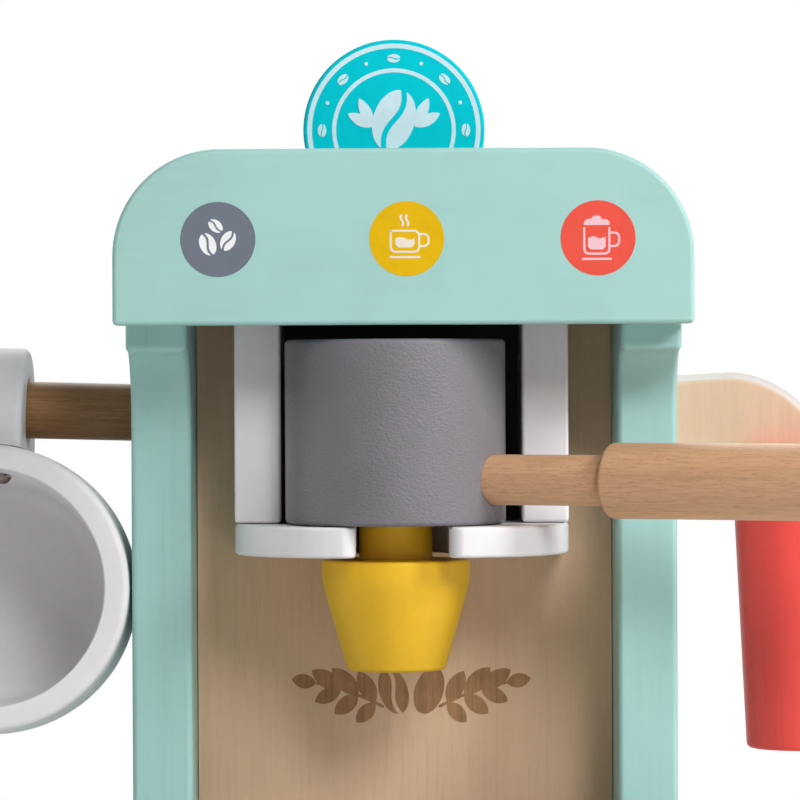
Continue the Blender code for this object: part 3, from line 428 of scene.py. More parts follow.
def beech_dowel(name, colour, centre, turn, depth, reach=1.0, contrast=1.0):
    """Lacquered beech along a dowel: fine fibres, short dark flecks and slow bands.

    turn lays the local Z axis along the dowel. reach lengthens the fibres and flecks, and
    contrast darkens them.
    """
    finish = Finish(name, 0.45, coat=0.06)
    along = {"turn": turn, "centre": centre}
    fibres = finish.noise((1500, 1500, 110 / reach), 5.0, 0.62, 0.2, **along)
    flecks = finish.cells(
        finish.place((2000, 2000, 420 / reach), **along), "F1", Scale=1.0, Randomness=1.0
    )
    drift = finish.noise((170, 170, 30), 2.0, **along)
    bands = finish.noise((75, 75, 5), 3.0, 0.5, 0.4, **along)
    pores = finish.noise((2600, 2600, 260), 2.0, **along)
    flecks = flecks.between(0.34, 0.18) * drift.between(0.42, 0.56)
    rubbed_and_highlit_edges = finish.edges(0.0016)
    worn_and_highlit = finish.layered(
        finish.clouded(bands, colour, 0.93, 1.06, 0.32),
        (fibres.between(0.56, 0.38) * (contrast * 0.5), browner(colour, 0.78)),
        (flecks * (contrast * 0.42), browner(colour, 0.62)),
        (pores.between(0.56, 0.70) * (contrast * 0.5), browner(colour, 0.66)),
        # Lighter eased edges: partly rubbed lacquer, partly a painted highlight.
        (rubbed_and_highlit_edges * fibres.between(0.45, 0.60) * 0.35, shade(colour, 1.25)),
    )
    finish.bump(fibres * 0.7 + pores * 0.3 - flecks * 0.5, depth, 0.6)
    return finish.done(worn_and_highlit, 0.40 + fibres * 0.14 + flecks * 0.12)


def printed_ink(name, colour):
    """A thin print: almost even, with the paint's peel under it and a fine dot texture."""
    finish = Finish(name, 0.34)
    pimples = finish.noise(900.0, 3.0, 0.6)
    tone = finish.clouded(finish.noise(120.0, 2.0), colour, 0.97, 1.03)
    gaps = finish.mixed(
        finish.noise(2400.0, 2.0).between(0.64, 0.74) * 0.25, tone, shade(colour, 1.15)
    )
    finish.bump(pimples, 0.00008, 0.4)
    return finish.done(gaps, 0.34 - 0.04 + pimples * 0.10)


def burned_wood(name, colour):
    """The burned mark: scorched fibres, darker in the pores and lighter at the fading edge."""
    finish = Finish(name, 0.7)
    fibres = finish.noise((520, 520, 20), 5.0, 0.62, 0.25)
    blotches = finish.noise(210.0)
    tone = finish.clouded(blotches, colour, 0.92, 1.12, 0.35)
    lines = finish.mixed(fibres.between(0.56, 0.38) * 0.6, tone, shade(colour, 0.66))
    finish.bump(fibres, 0.00016, 0.7)
    return finish.done(lines, 0.62 + blotches * 0.16)


def plated_steel(name, colour):
    """Zinc plate on a screw: dull clouds, fine scratches and a lighter edge, partly worn plate and
    partly a painted highlight.
    """
    finish = Finish(name, 0.35, metallic=1.0)
    cloud = finish.noise(700.0)
    scratches = finish.noise((5200, 900, 900))
    tone = finish.clouded(cloud, colour, 0.78, 1.05)
    # The edge is laid lighter: a painted highlight along the head's rim, partly worn plate.
    worn_and_highlit = finish.mixed(finish.edges(0.0004) * 0.5, tone, shade(colour, 1.3))
    finish.bump(scratches, 0.00003, 0.5)
    return finish.done(worn_and_highlit, 0.26 + cloud * 0.18 + scratches * 0.10)


class Finishes:
    """The materials of the toy, made once from the user's colours."""

    made = {}

    @classmethod
    def build(cls, colours, sizes):
        level = (0, 0, 0)
        handle_axis = (0, QUARTER, HANDLE_TURN)
        peg_axis = (0, PEG_TILT - QUARTER, 0)
        pin_axis = (QUARTER, 0, 0)
        spout_line = (FILTER_X, FILTER_Y, 0)
        grip_line = (FILTER_X, FILTER_Y, HANDLE_Z)
        mug_turn = tuple(mug_matrix().to_euler())
        # The mug and its ear wear the white paint made 4% darker: a painted shade over the hanging
        # mug.
        mug_shaded_white = shade(colours.white, 0.96)
        back_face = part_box("back_board")[0].y
        wing_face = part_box("wing_board")[0].y
        ply = sizes.ply_thickness
        depth = sizes.grain_depth
        rows = [
            ("mint_level", painted_wood, colours.mint, (14, 320, 320), 0.42, 0.5, 0.35),
            ("mint_upright", painted_wood, colours.mint, (420, 420, 10), 0.42, 0.5, 0.6),
            ("white_upright", painted_wood, colours.white, (360, 360, 12), 0.46, 0.6, 0.35),
            ("gray_tray", painted_wood, colours.gray, (12, 340, 340), 0.5, 0.8, 0.6),
            ("turquoise_pod", painted_wood, colours.turquoise, (300, 300, 14), 0.4, 0.5, 0.3, 0.02),
            # Flat black on the backing panel, a painted shade for the cavity behind the filter
            # head.
            ("black_backing", painted_wood, colours.black, (300, 300, 12), 0.6, 0.5, 0.3),
            ("gray_head", cracked_paint, colours.gray),
            ("mug_white", turned_paint, mug_shaded_white, MUG_HANG, mug_turn, (240, 240, 60), 0.2, 0.08),
            ("yellow_spout", turned_paint, colours.yellow, spout_line, level, (330, 330, 70), 0.35),
            ("red_wand", turned_paint, colours.red, WAND_PIVOT, level, (520, 520, 16), 0.5),
            ("birch_back", birch_ply, colours.birch, back_face, ply, 0.1),
            ("birch_wing", birch_ply, colours.wing_birch, wing_face, ply, 1.0),
            ("beech_handle", beech_dowel, colours.beech, grip_line, handle_axis, depth),
            ("beech_peg", beech_dowel, colours.dark_beech, MUG_HANG, peg_axis, depth, 2.0, 1.6),
            ("beech_pin", beech_dowel, colours.beech, WAND_PIVOT, pin_axis, depth),
            ("plated_steel", plated_steel, colours.steel),
            ("print_ink", printed_ink, colours.ink),
            ("burned_mark", burned_wood, colours.burn),
        ]
        for name in ("bean_disc", "cup_disc", "glass_disc", "cup_ink", "glass_ink", "pod_ink"):
            rows.append((name, printed_ink, getattr(colours, name)))
        cls.made = {name: make(name, tuple(colour), *rest) for name, make, colour, *rest in rows}


# The mug, measured from its mouth along its own axis
MUG_RADIUS = 0.0440
MUG_MOUTH_RADIUS = 0.0434
MUG_BASE_RADIUS = 0.0420
MUG_BASE_EDGE = 0.005
MUG_LENGTH = 0.066
MUG_MOUTH_REACH = 0.036
MUG_AXIS_DROP = 0.0554
MUG_BORE_RADIUS = 0.0360
MUG_BORE_END_RADIUS = 0.0333
MUG_BORE_EDGE = 0.006
MUG_FLOOR = 0.008
MUG_LIP = 0.0021
MUG_INNER_LIP = 0.0007
MUG_SCREW_PLACES = ((0.0033, -0.0205), (-0.0033, 0.0145))
SCREW_DOME_RADIUS = 0.0026
SCREW_DOME_HEIGHT = 0.0024


def laid(place, quarters=1):
    """At a place, with the Z axis laid level by quarter turns about X."""
    return Matrix.Translation(place) @ Matrix.Rotation(quarters * QUARTER, 4, "X")


def hang_matrix():
    """From the ear's own axes to where it leans on the peg."""
    turn = Matrix.Rotation(PEG_TILT, 4, "Y") @ Matrix.Rotation(-MUG_TILT, 4, "X")
    return Matrix.Translation(MUG_HANG) @ turn


def mug_matrix():
    """From the mug's own axis, its mouth at 0 and its base up, to where it hangs on the peg."""
    return hang_matrix() @ laid((0, -MUG_MOUTH_REACH, -MUG_AXIS_DROP), -1)


def peg_matrix():
    """From the peg's own axis, its foot at the panel's face, to where it stands."""
    foot = Vector((-0.082, 0.035, 0.1729))
    return Matrix.Translation(foot) @ Matrix.Rotation(PEG_TILT - QUARTER, 4, "Y")


def handle_matrix():
    """From the handle's own axis, the filter's axis at 0, to its level line."""
    place = Matrix.Translation((FILTER_X, FILTER_Y, HANDLE_Z))
    return place @ Euler((0, QUARTER, HANDLE_TURN)).to_matrix().to_4x4()


def arc(centre, radius, start, end, steps):
    """Points of an arc in a flat outline, in degrees, both ends included."""
    turns = [math.radians(start + (end - start) * step / steps) for step in range(steps + 1)]
    x, y = centre
    return [(x + radius * math.cos(turn), y + radius * math.sin(turn)) for turn in turns]


def rim(radius, height, rounding, top, steps=8):
    """The rounded edge of a turned profile, at its top or at its bottom."""
    if top:
        return arc((radius - rounding, height - rounding), rounding, 0, 90, steps)
    return arc((radius - rounding, height + rounding), rounding, -90, 0, steps)


def pull(shape, extruded, step):
    """Moves the vertices that an extrusion made."""
    far = [item for item in extruded["geom"] if isinstance(item, bmesh.types.BMVert)]
    bmesh.ops.translate(shape, verts=far, vec=step)


def slab(corners, axis, low, high):
    """A flat outline pulled along an axis. The other two axes keep their order."""
    shape = bmesh.new()
    number = "XYZ".index(axis)
    verts = []
    for corner in corners:
        place = list(corner)
        place.insert(number, low)
        verts.append(shape.verts.new(place))
    step = Vector((0, 0, 0))
    step[number] = high - low
    pull(shape, bmesh.ops.extrude_face_region(shape, geom=[shape.faces.new(verts)]), step)
    bmesh.ops.recalc_face_normals(shape, faces=shape.faces)
    return shape


def block(low, high):
    """A slab on the box between two corners."""
    corners = [(low[0], low[1]), (high[0], low[1]), (high[0], high[1]), (low[0], high[1])]
    return slab(corners, "Z", low[2], high[2])


def round_corner(shape, axis, corner, radius, steps=CORNER_STEPS):
    """Rounds the edge that runs along an axis through a corner of the outline."""
    others = [part for part in range(3) if part != "XYZ".index(axis)]

    def on_corner(vert):
        return all(abs(vert.co[part] - at) < SEAM / 10 for part, at in zip(others, corner))

    found = [edge for edge in shape.edges if all(on_corner(vert) for vert in edge.verts)]
    bmesh.ops.bevel(shape, geom=found, offset=radius, offset_type="OFFSET", segments=steps,
                    profile=0.5, affect="EDGES", material=-1)


def rounded_block(low, high, radius, steps=CORNER_STEPS):
    """A block whose four upright edges are rounded."""
    shape = block(low, high)
    for x in (low[0], high[0]):
        for y in (low[1], high[1]):
            round_corner(shape, "Z", (x, y), radius, steps)
    return shape


def turned(profile, steps=FINE_STEPS):
    """A profile of (radius, height) points spun round the Z axis."""
    shape = bmesh.new()
    verts = [shape.verts.new((radius, 0, height)) for radius, height in profile]
    edges = [shape.edges.new(pair) for pair in zip(verts, verts[1:])]
    bmesh.ops.spin(shape, geom=verts + edges, cent=(0, 0, 0), axis=(0, 0, 1), angle=math.tau,
                   steps=steps, use_merge=True)
    bmesh.ops.remove_doubles(shape, verts=shape.verts, dist=SEAM / 30)
    bmesh.ops.recalc_face_normals(shape, faces=shape.faces)
    return shape


def moved(shape, matrix):
    bmesh.ops.transform(shape, matrix=matrix, verts=shape.verts)
    return shape


def cylinder(radius, low, high, steps, matrix):
    """A plain cylinder along its own Z axis, moved by a matrix."""
    return moved(turned([(0, low), (radius, low), (radius, high), (0, high)], steps), matrix)


def rod(radius, low, high, rounding, top_rounding, steps, matrix):
    """A cylinder with rounded ends."""
    profile = [(0, low)] + rim(radius, low, rounding, False, 6)
    profile += rim(radius, high, top_rounding, True, 6) + [(0, high)]
    return moved(turned(profile, steps), matrix)


def object_from(name, shape):
    mesh = bpy.data.meshes.new(name)
    shape.to_mesh(mesh)
    shape.free()
    made = bpy.data.objects.new(name, mesh)
    bpy.context.scene.collection.objects.link(made)
    return made


def applied(obj):
    """Makes an object's modifiers part of its mesh."""
    bpy.context.view_layer.update()
    graph = bpy.context.evaluated_depsgraph_get()
    mesh = bpy.data.meshes.new_from_object(obj.evaluated_get(graph))
    obj.modifiers.clear()
    obj.data = mesh


def modify(obj, kind, **settings):
    """Adds a modifier with its settings."""
    modifier = obj.modifiers.new(kind.lower(), kind)
    for key, setting in settings.items():
        setattr(modifier, key, setting)


def carve(obj, cutters):
    """Takes each cutter's shape out of the object, and removes the cutters."""
    helpers = [object_from("cutter", shape) for shape in cutters]
    for helper in helpers:
        modify(obj, "BOOLEAN", operation="DIFFERENCE", solver="EXACT", object=helper)
    applied(obj)
    for helper in helpers:
        bpy.data.objects.remove(helper, do_unlink=True)


def wear(obj, finish):
    obj.data.materials.clear()
    obj.data.materials.append(Finishes.made[finish])


def piece(name, shape, finish, slot, body="machine", node=None, easing=0.0, cutters=(), holes=()):
    """A finished piece: cut, eased, smooth, with its material, body and CAD node.

    The edges of the cutters are eased with the rest. Those of the holes stay sharp, which keeps
    their short edges from narrowing the easing of the whole piece.
    """
    made = object_from(name, shape)
    if cutters:
        carve(made, cutters)
    if easing:
        modify(made, "BEVEL", width=easing, segments=4, limit_method="ANGLE",
               angle_limit=SHARP_ANGLE, harden_normals=True, miter_outer="MITER_ARC")
        made.data.shade_smooth()
        applied(made)
        if holes:
            carve(made, holes)
    else:
        made.data.shade_smooth()
        made.data.set_sharp_from_angle(angle=SHARP_ANGLE)
    wear(made, finish)
    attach(made, body)
    if node:
        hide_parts(node)
    return made


def dressed(node, *given, **settings):
    """A piece that takes the place of a CAD node and is named after it."""
    return piece(node + "_dressed", *given, node=node, **settings)


def sizes_of(context):
    return context.scene.coffee_maker_sizes


def screw_holes(kind, count, direction):
    """The countersunk holes of a row of CAD screws, open towards their heads."""
    number = direction.index(1)
    turn = Vector(direction).to_track_quat("Z", "Y").to_matrix().to_4x4()
    radius, head_radius, head_depth, over = 0.0021, 0.0041, 0.002, 0.003
    holes = []
    for screw in range(1, count + 1):
        low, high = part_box(f"{kind}_{screw}")
        start = (low + high) / 2
        start[number] = low[number]
        length = high[number] - low[number] + SEAM
        profile = [(0, -over), (head_radius, -over), (head_radius, 0), (radius, head_depth)]
        profile += [(radius, length), (0, length)]
        holes.append(moved(turned(profile, 48), Matrix.Translation(start) @ turn))
    return holes


class COFFEE_OT_finishes(bpy.types.Operator):
    """Make the paints, lacquered woods, prints and metal"""

    bl_idname = "coffee_maker.finishes"
    bl_label = "Finishes"

    def execute(self, context):
        Finishes.build(context.scene.coffee_maker_colours, sizes_of(context))
        return {"FINISHED"}


class COFFEE_OT_base(bpy.types.Operator):
    """Build the base board and the slotted drip tray"""

    bl_idname = "coffee_maker.base"
    bl_label = "Base and tray"

    def execute(self, context):
        easing = sizes_of(context).board_easing
        low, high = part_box("base_board")
        dressed("base_board", rounded_block(low, high, 0.010), "mint_level", "mint_paint",
                easing=easing, holes=screw_holes("base_screw", 6, (0, 0, 1)))
        low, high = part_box("drip_tray")
        middle_y = (low.y + high.y) / 2
        pitch, half_width, half_length, over = 0.0135, 0.00225, 0.029, 0.002
        slots = [
            rounded_block(
                (x - half_width, middle_y - half_length, low.z - over),
                (x + half_width, middle_y + half_length, high.z + over),
                half_width - 0.00003,
                8,
            )
            for x in (number * pitch for number in range(-3, 4))
        ]
        dressed("drip_tray", rounded_block(low, high, 0.008), "gray_tray", "gray_paint",
                easing=0.0010, holes=slots)
        return {"FINISHED"}


class COFFEE_OT_panels(bpy.types.Operator):
    """Build the two C-shaped side panels"""

    bl_idname = "coffee_maker.panels"
    bl_label = "Side panels"

    def execute(self, context):
        outer_x, radius, beyond = 0.082, 0.0285, 0.01
        waist, lip, shoulder = -0.003, 0.034, 0.191
        peg_radius, peg_depth = 0.00908, 0.0123
        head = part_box("header_board")[1].y + SEAM
        for node, side in (("left_side_panel", -1), ("right_side_panel", 1)):
            low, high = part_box(node)
            corners = [
                (high.y, low.z), (high.y, high.z), (head, high.z), (head, shoulder),
                (waist, shoulder), (waist, lip), (low.y, lip), (low.y, low.z),
            ]
            panel = slab(corners, "X", low.x, high.x)
            round_corner(panel, "X", (waist, shoulder), 0.020)
            round_corner(panel, "X", (waist, lip), 0.022)
            round_corner(panel, "X", (low.y, lip), 0.009, 12)
            round_corner(panel, "X", (low.y, low.z), 0.003, 6)
            middle = (side * (outer_x - radius), high.z - radius)
            # The arc's last stretch has few steps, as short edges would narrow the easing
            coarse = 90 - side * 28
            outside = arc(middle, radius, 90 - side * 90, coarse, CORNER_STEPS)
            outside += arc(middle, radius, coarse, 90, 2)[1:]
            reach = radius + beyond
            outside += [
                (middle[0], middle[1] + reach),
                (middle[0] + side * reach, middle[1] + reach),
                (middle[0] + side * reach, middle[1]),
            ]
            cutters = [slab(outside, "Y", low.y - beyond, high.y + beyond)]
            if side < 0:
                holes = [cylinder(peg_radius, -peg_depth, 0.05, 64, peg_matrix())]
            else:
                holes = screw_holes("wing_screw", 2, (1, 0, 0))
            dressed(node, panel, "mint_upright", "mint_paint",
                    easing=sizes_of(context).panel_easing, cutters=cutters, holes=holes)
        return {"FINISHED"}


class COFFEE_OT_header(bpy.types.Operator):
    """Build the header board and the top board with its pod slot"""

    bl_idname = "coffee_maker.header"
    bl_label = "Header and top"

    def execute(self, context):
        low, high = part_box("header_board")
        corners = [(low.x, low.z), (high.x, low.z), (high.x, high.z), (low.x, high.z)]
        board = slab(corners, "Y", low.y, high.y)
        for x in (low.x, high.x):
            round_corner(board, "Y", (x, high.z), 0.0315)
        piece("header_dressed", board, "mint_level", "mint_paint", node="header_board",
              easing=sizes_of(context).board_easing)
        low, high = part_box("top_board")
        pod_low, pod_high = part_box("coffee_pod")
        half = (pod_high.y - pod_low.y) / 2 + SEAM
        pod_slot = cylinder(0.0273, -half, half, FINE_STEPS, laid((pod_low + pod_high) / 2))
        dressed("top_board", block(low, high), "mint_level", "mint_paint",
                easing=sizes_of(context).fork_easing, holes=[pod_slot])
        return {"FINISHED"}


# Drawings on the header's discs, in shares of a disc's radius
BEAN_SHARES = (
    (-0.27, -0.13, 0.215, 0.31, -24), (0.27, -0.04, 0.19, 0.28, 28), (-0.06, 0.36, 0.15, 0.22, -50),
)
CUP_SHARES = (
    ((-0.43, 0.16), (-0.43, -0.40), (0.33, -0.40), (0.33, 0.16), (-0.44, 0.16)),
    ((0.33, 0.07), (0.58, 0.07), (0.58, -0.25), (0.32, -0.25)),
    ((-0.46, -0.54), (0.36, -0.54)),
)
CUP_FILL_SHARES = (
    (-0.31, -0.05), (-0.22, -0.01), (-0.10, -0.01), (0.04, -0.07), (0.14, -0.07), (0.21, -0.03),
    (0.21, -0.20), (0.12, -0.29), (-0.22, -0.29), (-0.31, -0.20),
)
STEAM_SHARES = (-0.13, 0.01)
GLASS_SHARES = (
    ((-0.37, 0.28), (-0.37, -0.42), (0.30, -0.42), (0.30, 0.28)),
    ((0.30, 0.14), (0.56, 0.14), (0.56, -0.22), (0.30, -0.22)),
    ((-0.43, -0.56), (0.36, -0.56)),
)
GLASS_FILL_SHARES = (
    (-0.27, 0.00), (-0.12, 0.05), (0.04, -0.02), (0.20, 0.03), (0.20, -0.24), (0.13, -0.31),
    (-0.20, -0.31), (-0.27, -0.24),
)
FOAM_SHARES = ((-0.24, 0.37, 0.14), (-0.04, 0.44, 0.16), (0.18, 0.37, 0.13))
FOAM_FOOT_SHARE = 0.34


def disc(centre, radius, face, lift, steps=96, squeeze=1.0, turn=0.0):
    """A thin round or oval plate on a face that looks towards -Y, sunk a little into it."""
    place = Matrix.Translation((centre[0], face, centre[1])) @ Matrix.Rotation(turn, 4, "Y")
    oval = Matrix.Diagonal((squeeze, 1, 1, 1))
    return cylinder(radius, -lift, PRINT_SINK, steps, place @ oval @ laid((0, 0, 0), -1))


def band(centre, inner, outer, face, lift):
    """A thin flat ring on a face that looks towards -Y."""
    profile = [(inner, -lift), (outer, -lift), (outer, PRINT_SINK), (inner, PRINT_SINK)]
    return moved(turned(profile + profile[:1]), laid((centre[0], face, centre[1]), -1))


def plate(outline, face, lift):
    """A thin flat shape on a face that looks towards -Y."""
    return slab(outline, "Y", face - lift, face + PRINT_SINK)


def stroke(points, width, face, lift):
    """A drawn line: a path of edges pulled into the face, and given its width on both sides."""
    shape = bmesh.new()
    closed = points[0] == points[-1]
    verts = [shape.verts.new((x, face - lift, z)) for x, z in (points[:-1] if closed else points)]
    pairs = list(zip(verts, verts[1:])) + ([(verts[-1], verts[0])] if closed else [])
    edges = [shape.edges.new(pair) for pair in pairs]
    pull(shape, bmesh.ops.extrude_edge_only(shape, edges=edges), (0, lift + PRINT_SINK, 0))
    made = object_from("stroke", shape)
    modify(made, "SOLIDIFY", thickness=width, offset=0.0, use_even_offset=True)
    applied(made)
    shape = bmesh.new()
    shape.from_mesh(made.data)
    bpy.data.objects.remove(made, do_unlink=True)
    bmesh.ops.recalc_face_normals(shape, faces=shape.faces)
    return shape


def together(shapes):
    """One bmesh of several thin prints, each a hair in front of the one before."""
    whole = bmesh.new()
    for number, shape in enumerate(shapes):
        bmesh.ops.translate(shape, verts=shape.verts, vec=(0, -number * PRINT_STEP, 0))
        mesh = bpy.data.meshes.new("part")
        shape.to_mesh(mesh)
        shape.free()
        whole.from_mesh(mesh)
        bpy.data.meshes.remove(mesh)
    return whole


def placed(points, centre, radius):
    return [(centre[0] + x * radius, centre[1] + z * radius) for x, z in points]


def leaned(points, centre, turn):
    """Points turned about their own origin, then set at a centre."""
    x, z = centre
    cos, sin = math.cos(turn), math.sin(turn)
    return [(x + right * cos - up * sin, z + right * sin + up * cos) for right, up in points]


def softened(points, reach=0.15, steps=6):
    """A path whose inner corners are rounded, each over a reach on both sides."""
    soft = [points[0]]
    for before, corner, after in zip(points, points[1:], points[2:]):
        middle = Vector(corner)
        start = middle + (Vector(before) - middle).normalized() * reach
        end = middle + (Vector(after) - middle).normalized() * reach
        for step in range(steps + 1):
            share = step / steps
            spot = start * (1 - share) ** 2 + middle * 2 * share * (1 - share) + end * share**2
            soft.append(tuple(spot))
    return soft + [points[-1]]


def foam_outline(steps=60):
    """The rounded heap of foam on the glass: the highest of its bumps at each place."""
    left = min(x - radius for x, _, radius in FOAM_SHARES)
    right = max(x + radius for x, _, radius in FOAM_SHARES)
    outline = [(right, FOAM_FOOT_SHARE), (left, FOAM_FOOT_SHARE)]
    for step in range(steps + 1):
        x = left + (right - left) * step / steps
        bumps = [
            z + math.sqrt(max(0.0, radius**2 - (x - middle) ** 2))
            for middle, z, radius in FOAM_SHARES
            if abs(x - middle) < radius + 0.001
        ]
        outline.append((x, max(bumps)))
    return outline


def add_bean(wholes, grooves, centre, half_width, half_height, lean, face, lift):
    """Adds a coffee bean: an oval, and the curved groove drawn over it in the ground's ink."""
    turn = math.radians(lean)
    wholes.append(disc(centre, half_height, face, lift, 48, half_width / half_height, turn))
    shares = [step / 6 - 1 for step in range(13)]
    path = [
        (math.sin(share * math.pi) * half_width * 0.22, share * half_height * 1.04)
        for share in shares
    ]
    path = leaned(path, centre, -turn)
    grooves.append(stroke(path, half_width * 0.26, face, lift + PRINT_LIFT))


class COFFEE_OT_prints(bpy.types.Operator):
    """Print the three discs on the header, and their drawings"""

    bl_idname = "coffee_maker.prints"
    bl_label = "Header prints"

    def execute(self, context):
        radius = sizes_of(context).print_radius
        width = sizes_of(context).print_stroke
        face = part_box("header_board")[0].y
        lift = PRINT_LIFT * 2
        height = 0.2240
        centres = {"bean_disc": -0.05405, "cup_disc": 0.00104, "glass_disc": 0.05684}
        for name, x in centres.items():
            piece(name + "_print", disc((x, height), radius, face, PRINT_LIFT), name, "mint_paint")
        beans = []
        grooves = []
        for x, z, wide, tall, lean in BEAN_SHARES:
            middle = placed([(x, z)], (centres["bean_disc"], height), radius)[0]
            add_bean(beans, grooves, middle, wide * radius, tall * radius, lean, face, lift)
        piece("bean_drawing", together(beans), "print_ink", "white_paint")
        piece("bean_grooves", together(grooves), "bean_disc", "gray_paint")
        steam = [
            [(x + 0.035 * math.sin(step * math.pi / 6), 0.28 + step * 0.026) for step in range(13)]
            for x in STEAM_SHARES
        ]
        drawings = (
            ("cup", 0.05, CUP_SHARES, steam, [CUP_FILL_SHARES]),
            ("glass", 0.0, GLASS_SHARES, [], [GLASS_FILL_SHARES, foam_outline()]),
        )
        for name, rise, paths, wisps, fills in drawings:
            middle = (centres[name + "_disc"], height + radius * rise)
            paths = [softened(path) for path in paths] + wisps
            shapes = [stroke(placed(path, middle, radius), width, face, lift) for path in paths]
            shapes += [plate(placed(fill, middle, radius), face, lift) for fill in fills]
            piece(name + "_drawing", together(shapes), name + "_ink", "white_paint")
        return {"FINISHED"}


def leaf(root, length, width, lean, face, lift):
    """A pointed leaf from its root, leaning by an angle from +X."""
    radius = (length**2 / 4 + width**2 / 4) / width
    half = math.degrees(math.asin(length / 2 / radius))
    outline = arc((length / 2, width / 2 - radius), radius, 90 + half, 90 - half, 10)[:-1]
    outline += arc((length / 2, radius - width / 2), radius, -90 + half, -90 - half, 10)[:-1]
    return plate(leaned(outline, root, math.radians(lean)), face, lift)


# Leaves of the burned sprig: place on the stem, lean in degrees, length and width
SPRIG_LEAVES = (
    (1, 62, 0.0110, 0.0054), (3, 46, 0.0116, 0.0056), (5, 32, 0.0108, 0.0052),
    (8, 10, 0.0076, 0.0044), (1, -46, 0.0084, 0.0046), (3, -38, 0.0094, 0.0050),
    (5, -26, 0.0092, 0.0046),
)


class COFFEE_OT_back(bpy.types.Operator):
    """Finish the back board and backing, and burn the sprig of leaves and beans"""

    bl_idname = "coffee_maker.back"
    bl_label = "Back board"

    def execute(self, context):
        wear(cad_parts["back_board"], "birch_back")
        # The backing panel wears flat black, a painted shade for the deep cavity behind the filter
        # head.
        wear(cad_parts["backing_panel"], "black_backing")
        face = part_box("back_board")[0].y
        x, z = 0.0019, 0.0864
        shapes = []
        grooves = []
        for side in (-1, 1):
            stem = [
                (x + side * (0.0085 + step * 0.0026), z - 0.0045 + 0.0075 * math.sin(step * 0.17))
                for step in range(9)
            ]
            shapes.append(stroke(stem, 0.0009, face, PRINT_LIFT))
            for share, lean, length, width in SPRIG_LEAVES:
                turn = lean if side > 0 else 180 - lean
                shapes.append(leaf(stem[share], length, width, turn, face, PRINT_LIFT))
            centre = (x + side * 0.0055, z + 0.0005)
            add_bean(shapes, grooves, centre, 0.0044, 0.0074, side * 18, face, PRINT_LIFT)
        piece("burned_sprig", together(shapes), "burned_mark", "natural_plywood")
        piece("burned_grooves", together(grooves), "birch_back", "natural_plywood")
        return {"FINISHED"}


class COFFEE_OT_fork(bpy.types.Operator):
    """Build the two hangers and the slotted fork plate"""

    bl_idname = "coffee_maker.fork"
    bl_label = "Fork"

    def execute(self, context):
        easing = sizes_of(context).fork_easing
        for node in ("left_hanger", "right_hanger"):
            low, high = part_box(node)
            dressed(node, block(low, high), "white_upright", "white_paint", easing=easing)
        low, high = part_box("fork_plate")
        corner, slot_x, slot_end, half, mouth = 0.038, -0.0006, -0.005, 0.01375, 0.004
        over, narrower = 0.01, 0.0004
        plate = block(low, high)
        for x in (low.x, high.x):
            round_corner(plate, "Z", (x, low.y), corner, 40)
        end = slot_end + half
        slot_low = (slot_x - half, low.y - 0.02, low.z - over)
        slot = block(slot_low, (slot_x + half, end, high.z + over))
        for side in (-half, half):
            round_corner(slot, "Z", (slot_x + side, end), half - 0.00002)
        cutters = [slot]
        for side, start, round_x in ((-1, 360, low.x + corner), (1, 180, high.x - corner)):
            centre_x = slot_x + side * (half + mouth)
            lean = math.asin(abs(centre_x - round_x) / corner)
            centre_y = low.y + corner - corner * math.cos(lean) + mouth
            wall_x = slot_x + side * (half - narrower)
            outline = [(wall_x, centre_y), (wall_x, low.y - 0.002), (centre_x, low.y - 0.002)]
            outline += arc((centre_x, centre_y), mouth, 270, start, 16)
            cutters.append(slab(outline, "Z", low.z - over, high.z + over))
        dressed("fork_plate", plate, "white_upright", "white_paint", easing=easing,
                cutters=cutters, holes=screw_holes("fork_plate_screw", 2, (0, 0, 1)))
        return {"FINISHED"}


class COFFEE_OT_filter(bpy.types.Operator):
    """Turn the filter head and the spout"""

    bl_idname = "coffee_maker.filter"
    bl_label = "Filter"

    def execute(self, context):
        line = Matrix.Translation((FILTER_X, FILTER_Y, 0))
        socket_radius, socket_depth, spigot_radius = 0.0063, 0.0103, 0.0060
        low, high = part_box("filter_head")
        radius = (high.x - low.x) / 2
        ceiling = low.z + socket_depth
        profile = [(0, ceiling), (socket_radius, ceiling), (socket_radius, low.z)]
        profile += rim(radius, low.z, 0.0014, False) + rim(radius, high.z, 0.0014, True)
        profile.append((0, high.z))
        stem_hole = cylinder(0.00765, 0.0187, 0.06, 96, handle_matrix())
        dressed("filter_head", moved(turned(profile, 192), line), "gray_head", "gray_paint",
                body="handle", cutters=[stem_hole])
        top = 0.129
        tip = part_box("filter_spout")[0].z
        neck_top = low.z - SEAM
        tip_radius, shoulder, edge, belly, chamfer = 0.0150, 0.0222, 0.0016, 0.0240, 0.0004
        lean = math.degrees(math.atan2(shoulder - tip_radius, 0.0331 - 0.0055))
        profile = [(0, tip + 0.0012), (0.0052, tip + 0.0012), (0.0060, tip + chamfer)]
        profile.append((0.0066, tip))
        profile += arc((tip_radius - edge, tip + edge), edge, -90, -lean, 8)
        profile += arc((shoulder - belly, top - 0.0033), belly, -lean, 0, 12)
        profile += rim(shoulder, top, 0.0010, True)
        profile += [(0.0114, top), (0.0110, top + chamfer), (0.0110, neck_top - chamfer)]
        spigot_top = neck_top + socket_depth - SEAM
        profile += [(0.0106, neck_top), (spigot_radius, neck_top), (spigot_radius, spigot_top)]
        profile.append((0, spigot_top))
        dressed("filter_spout", moved(turned(profile), line), "yellow_spout", "yellow_paint",
                body="spout")
        return {"FINISHED"}


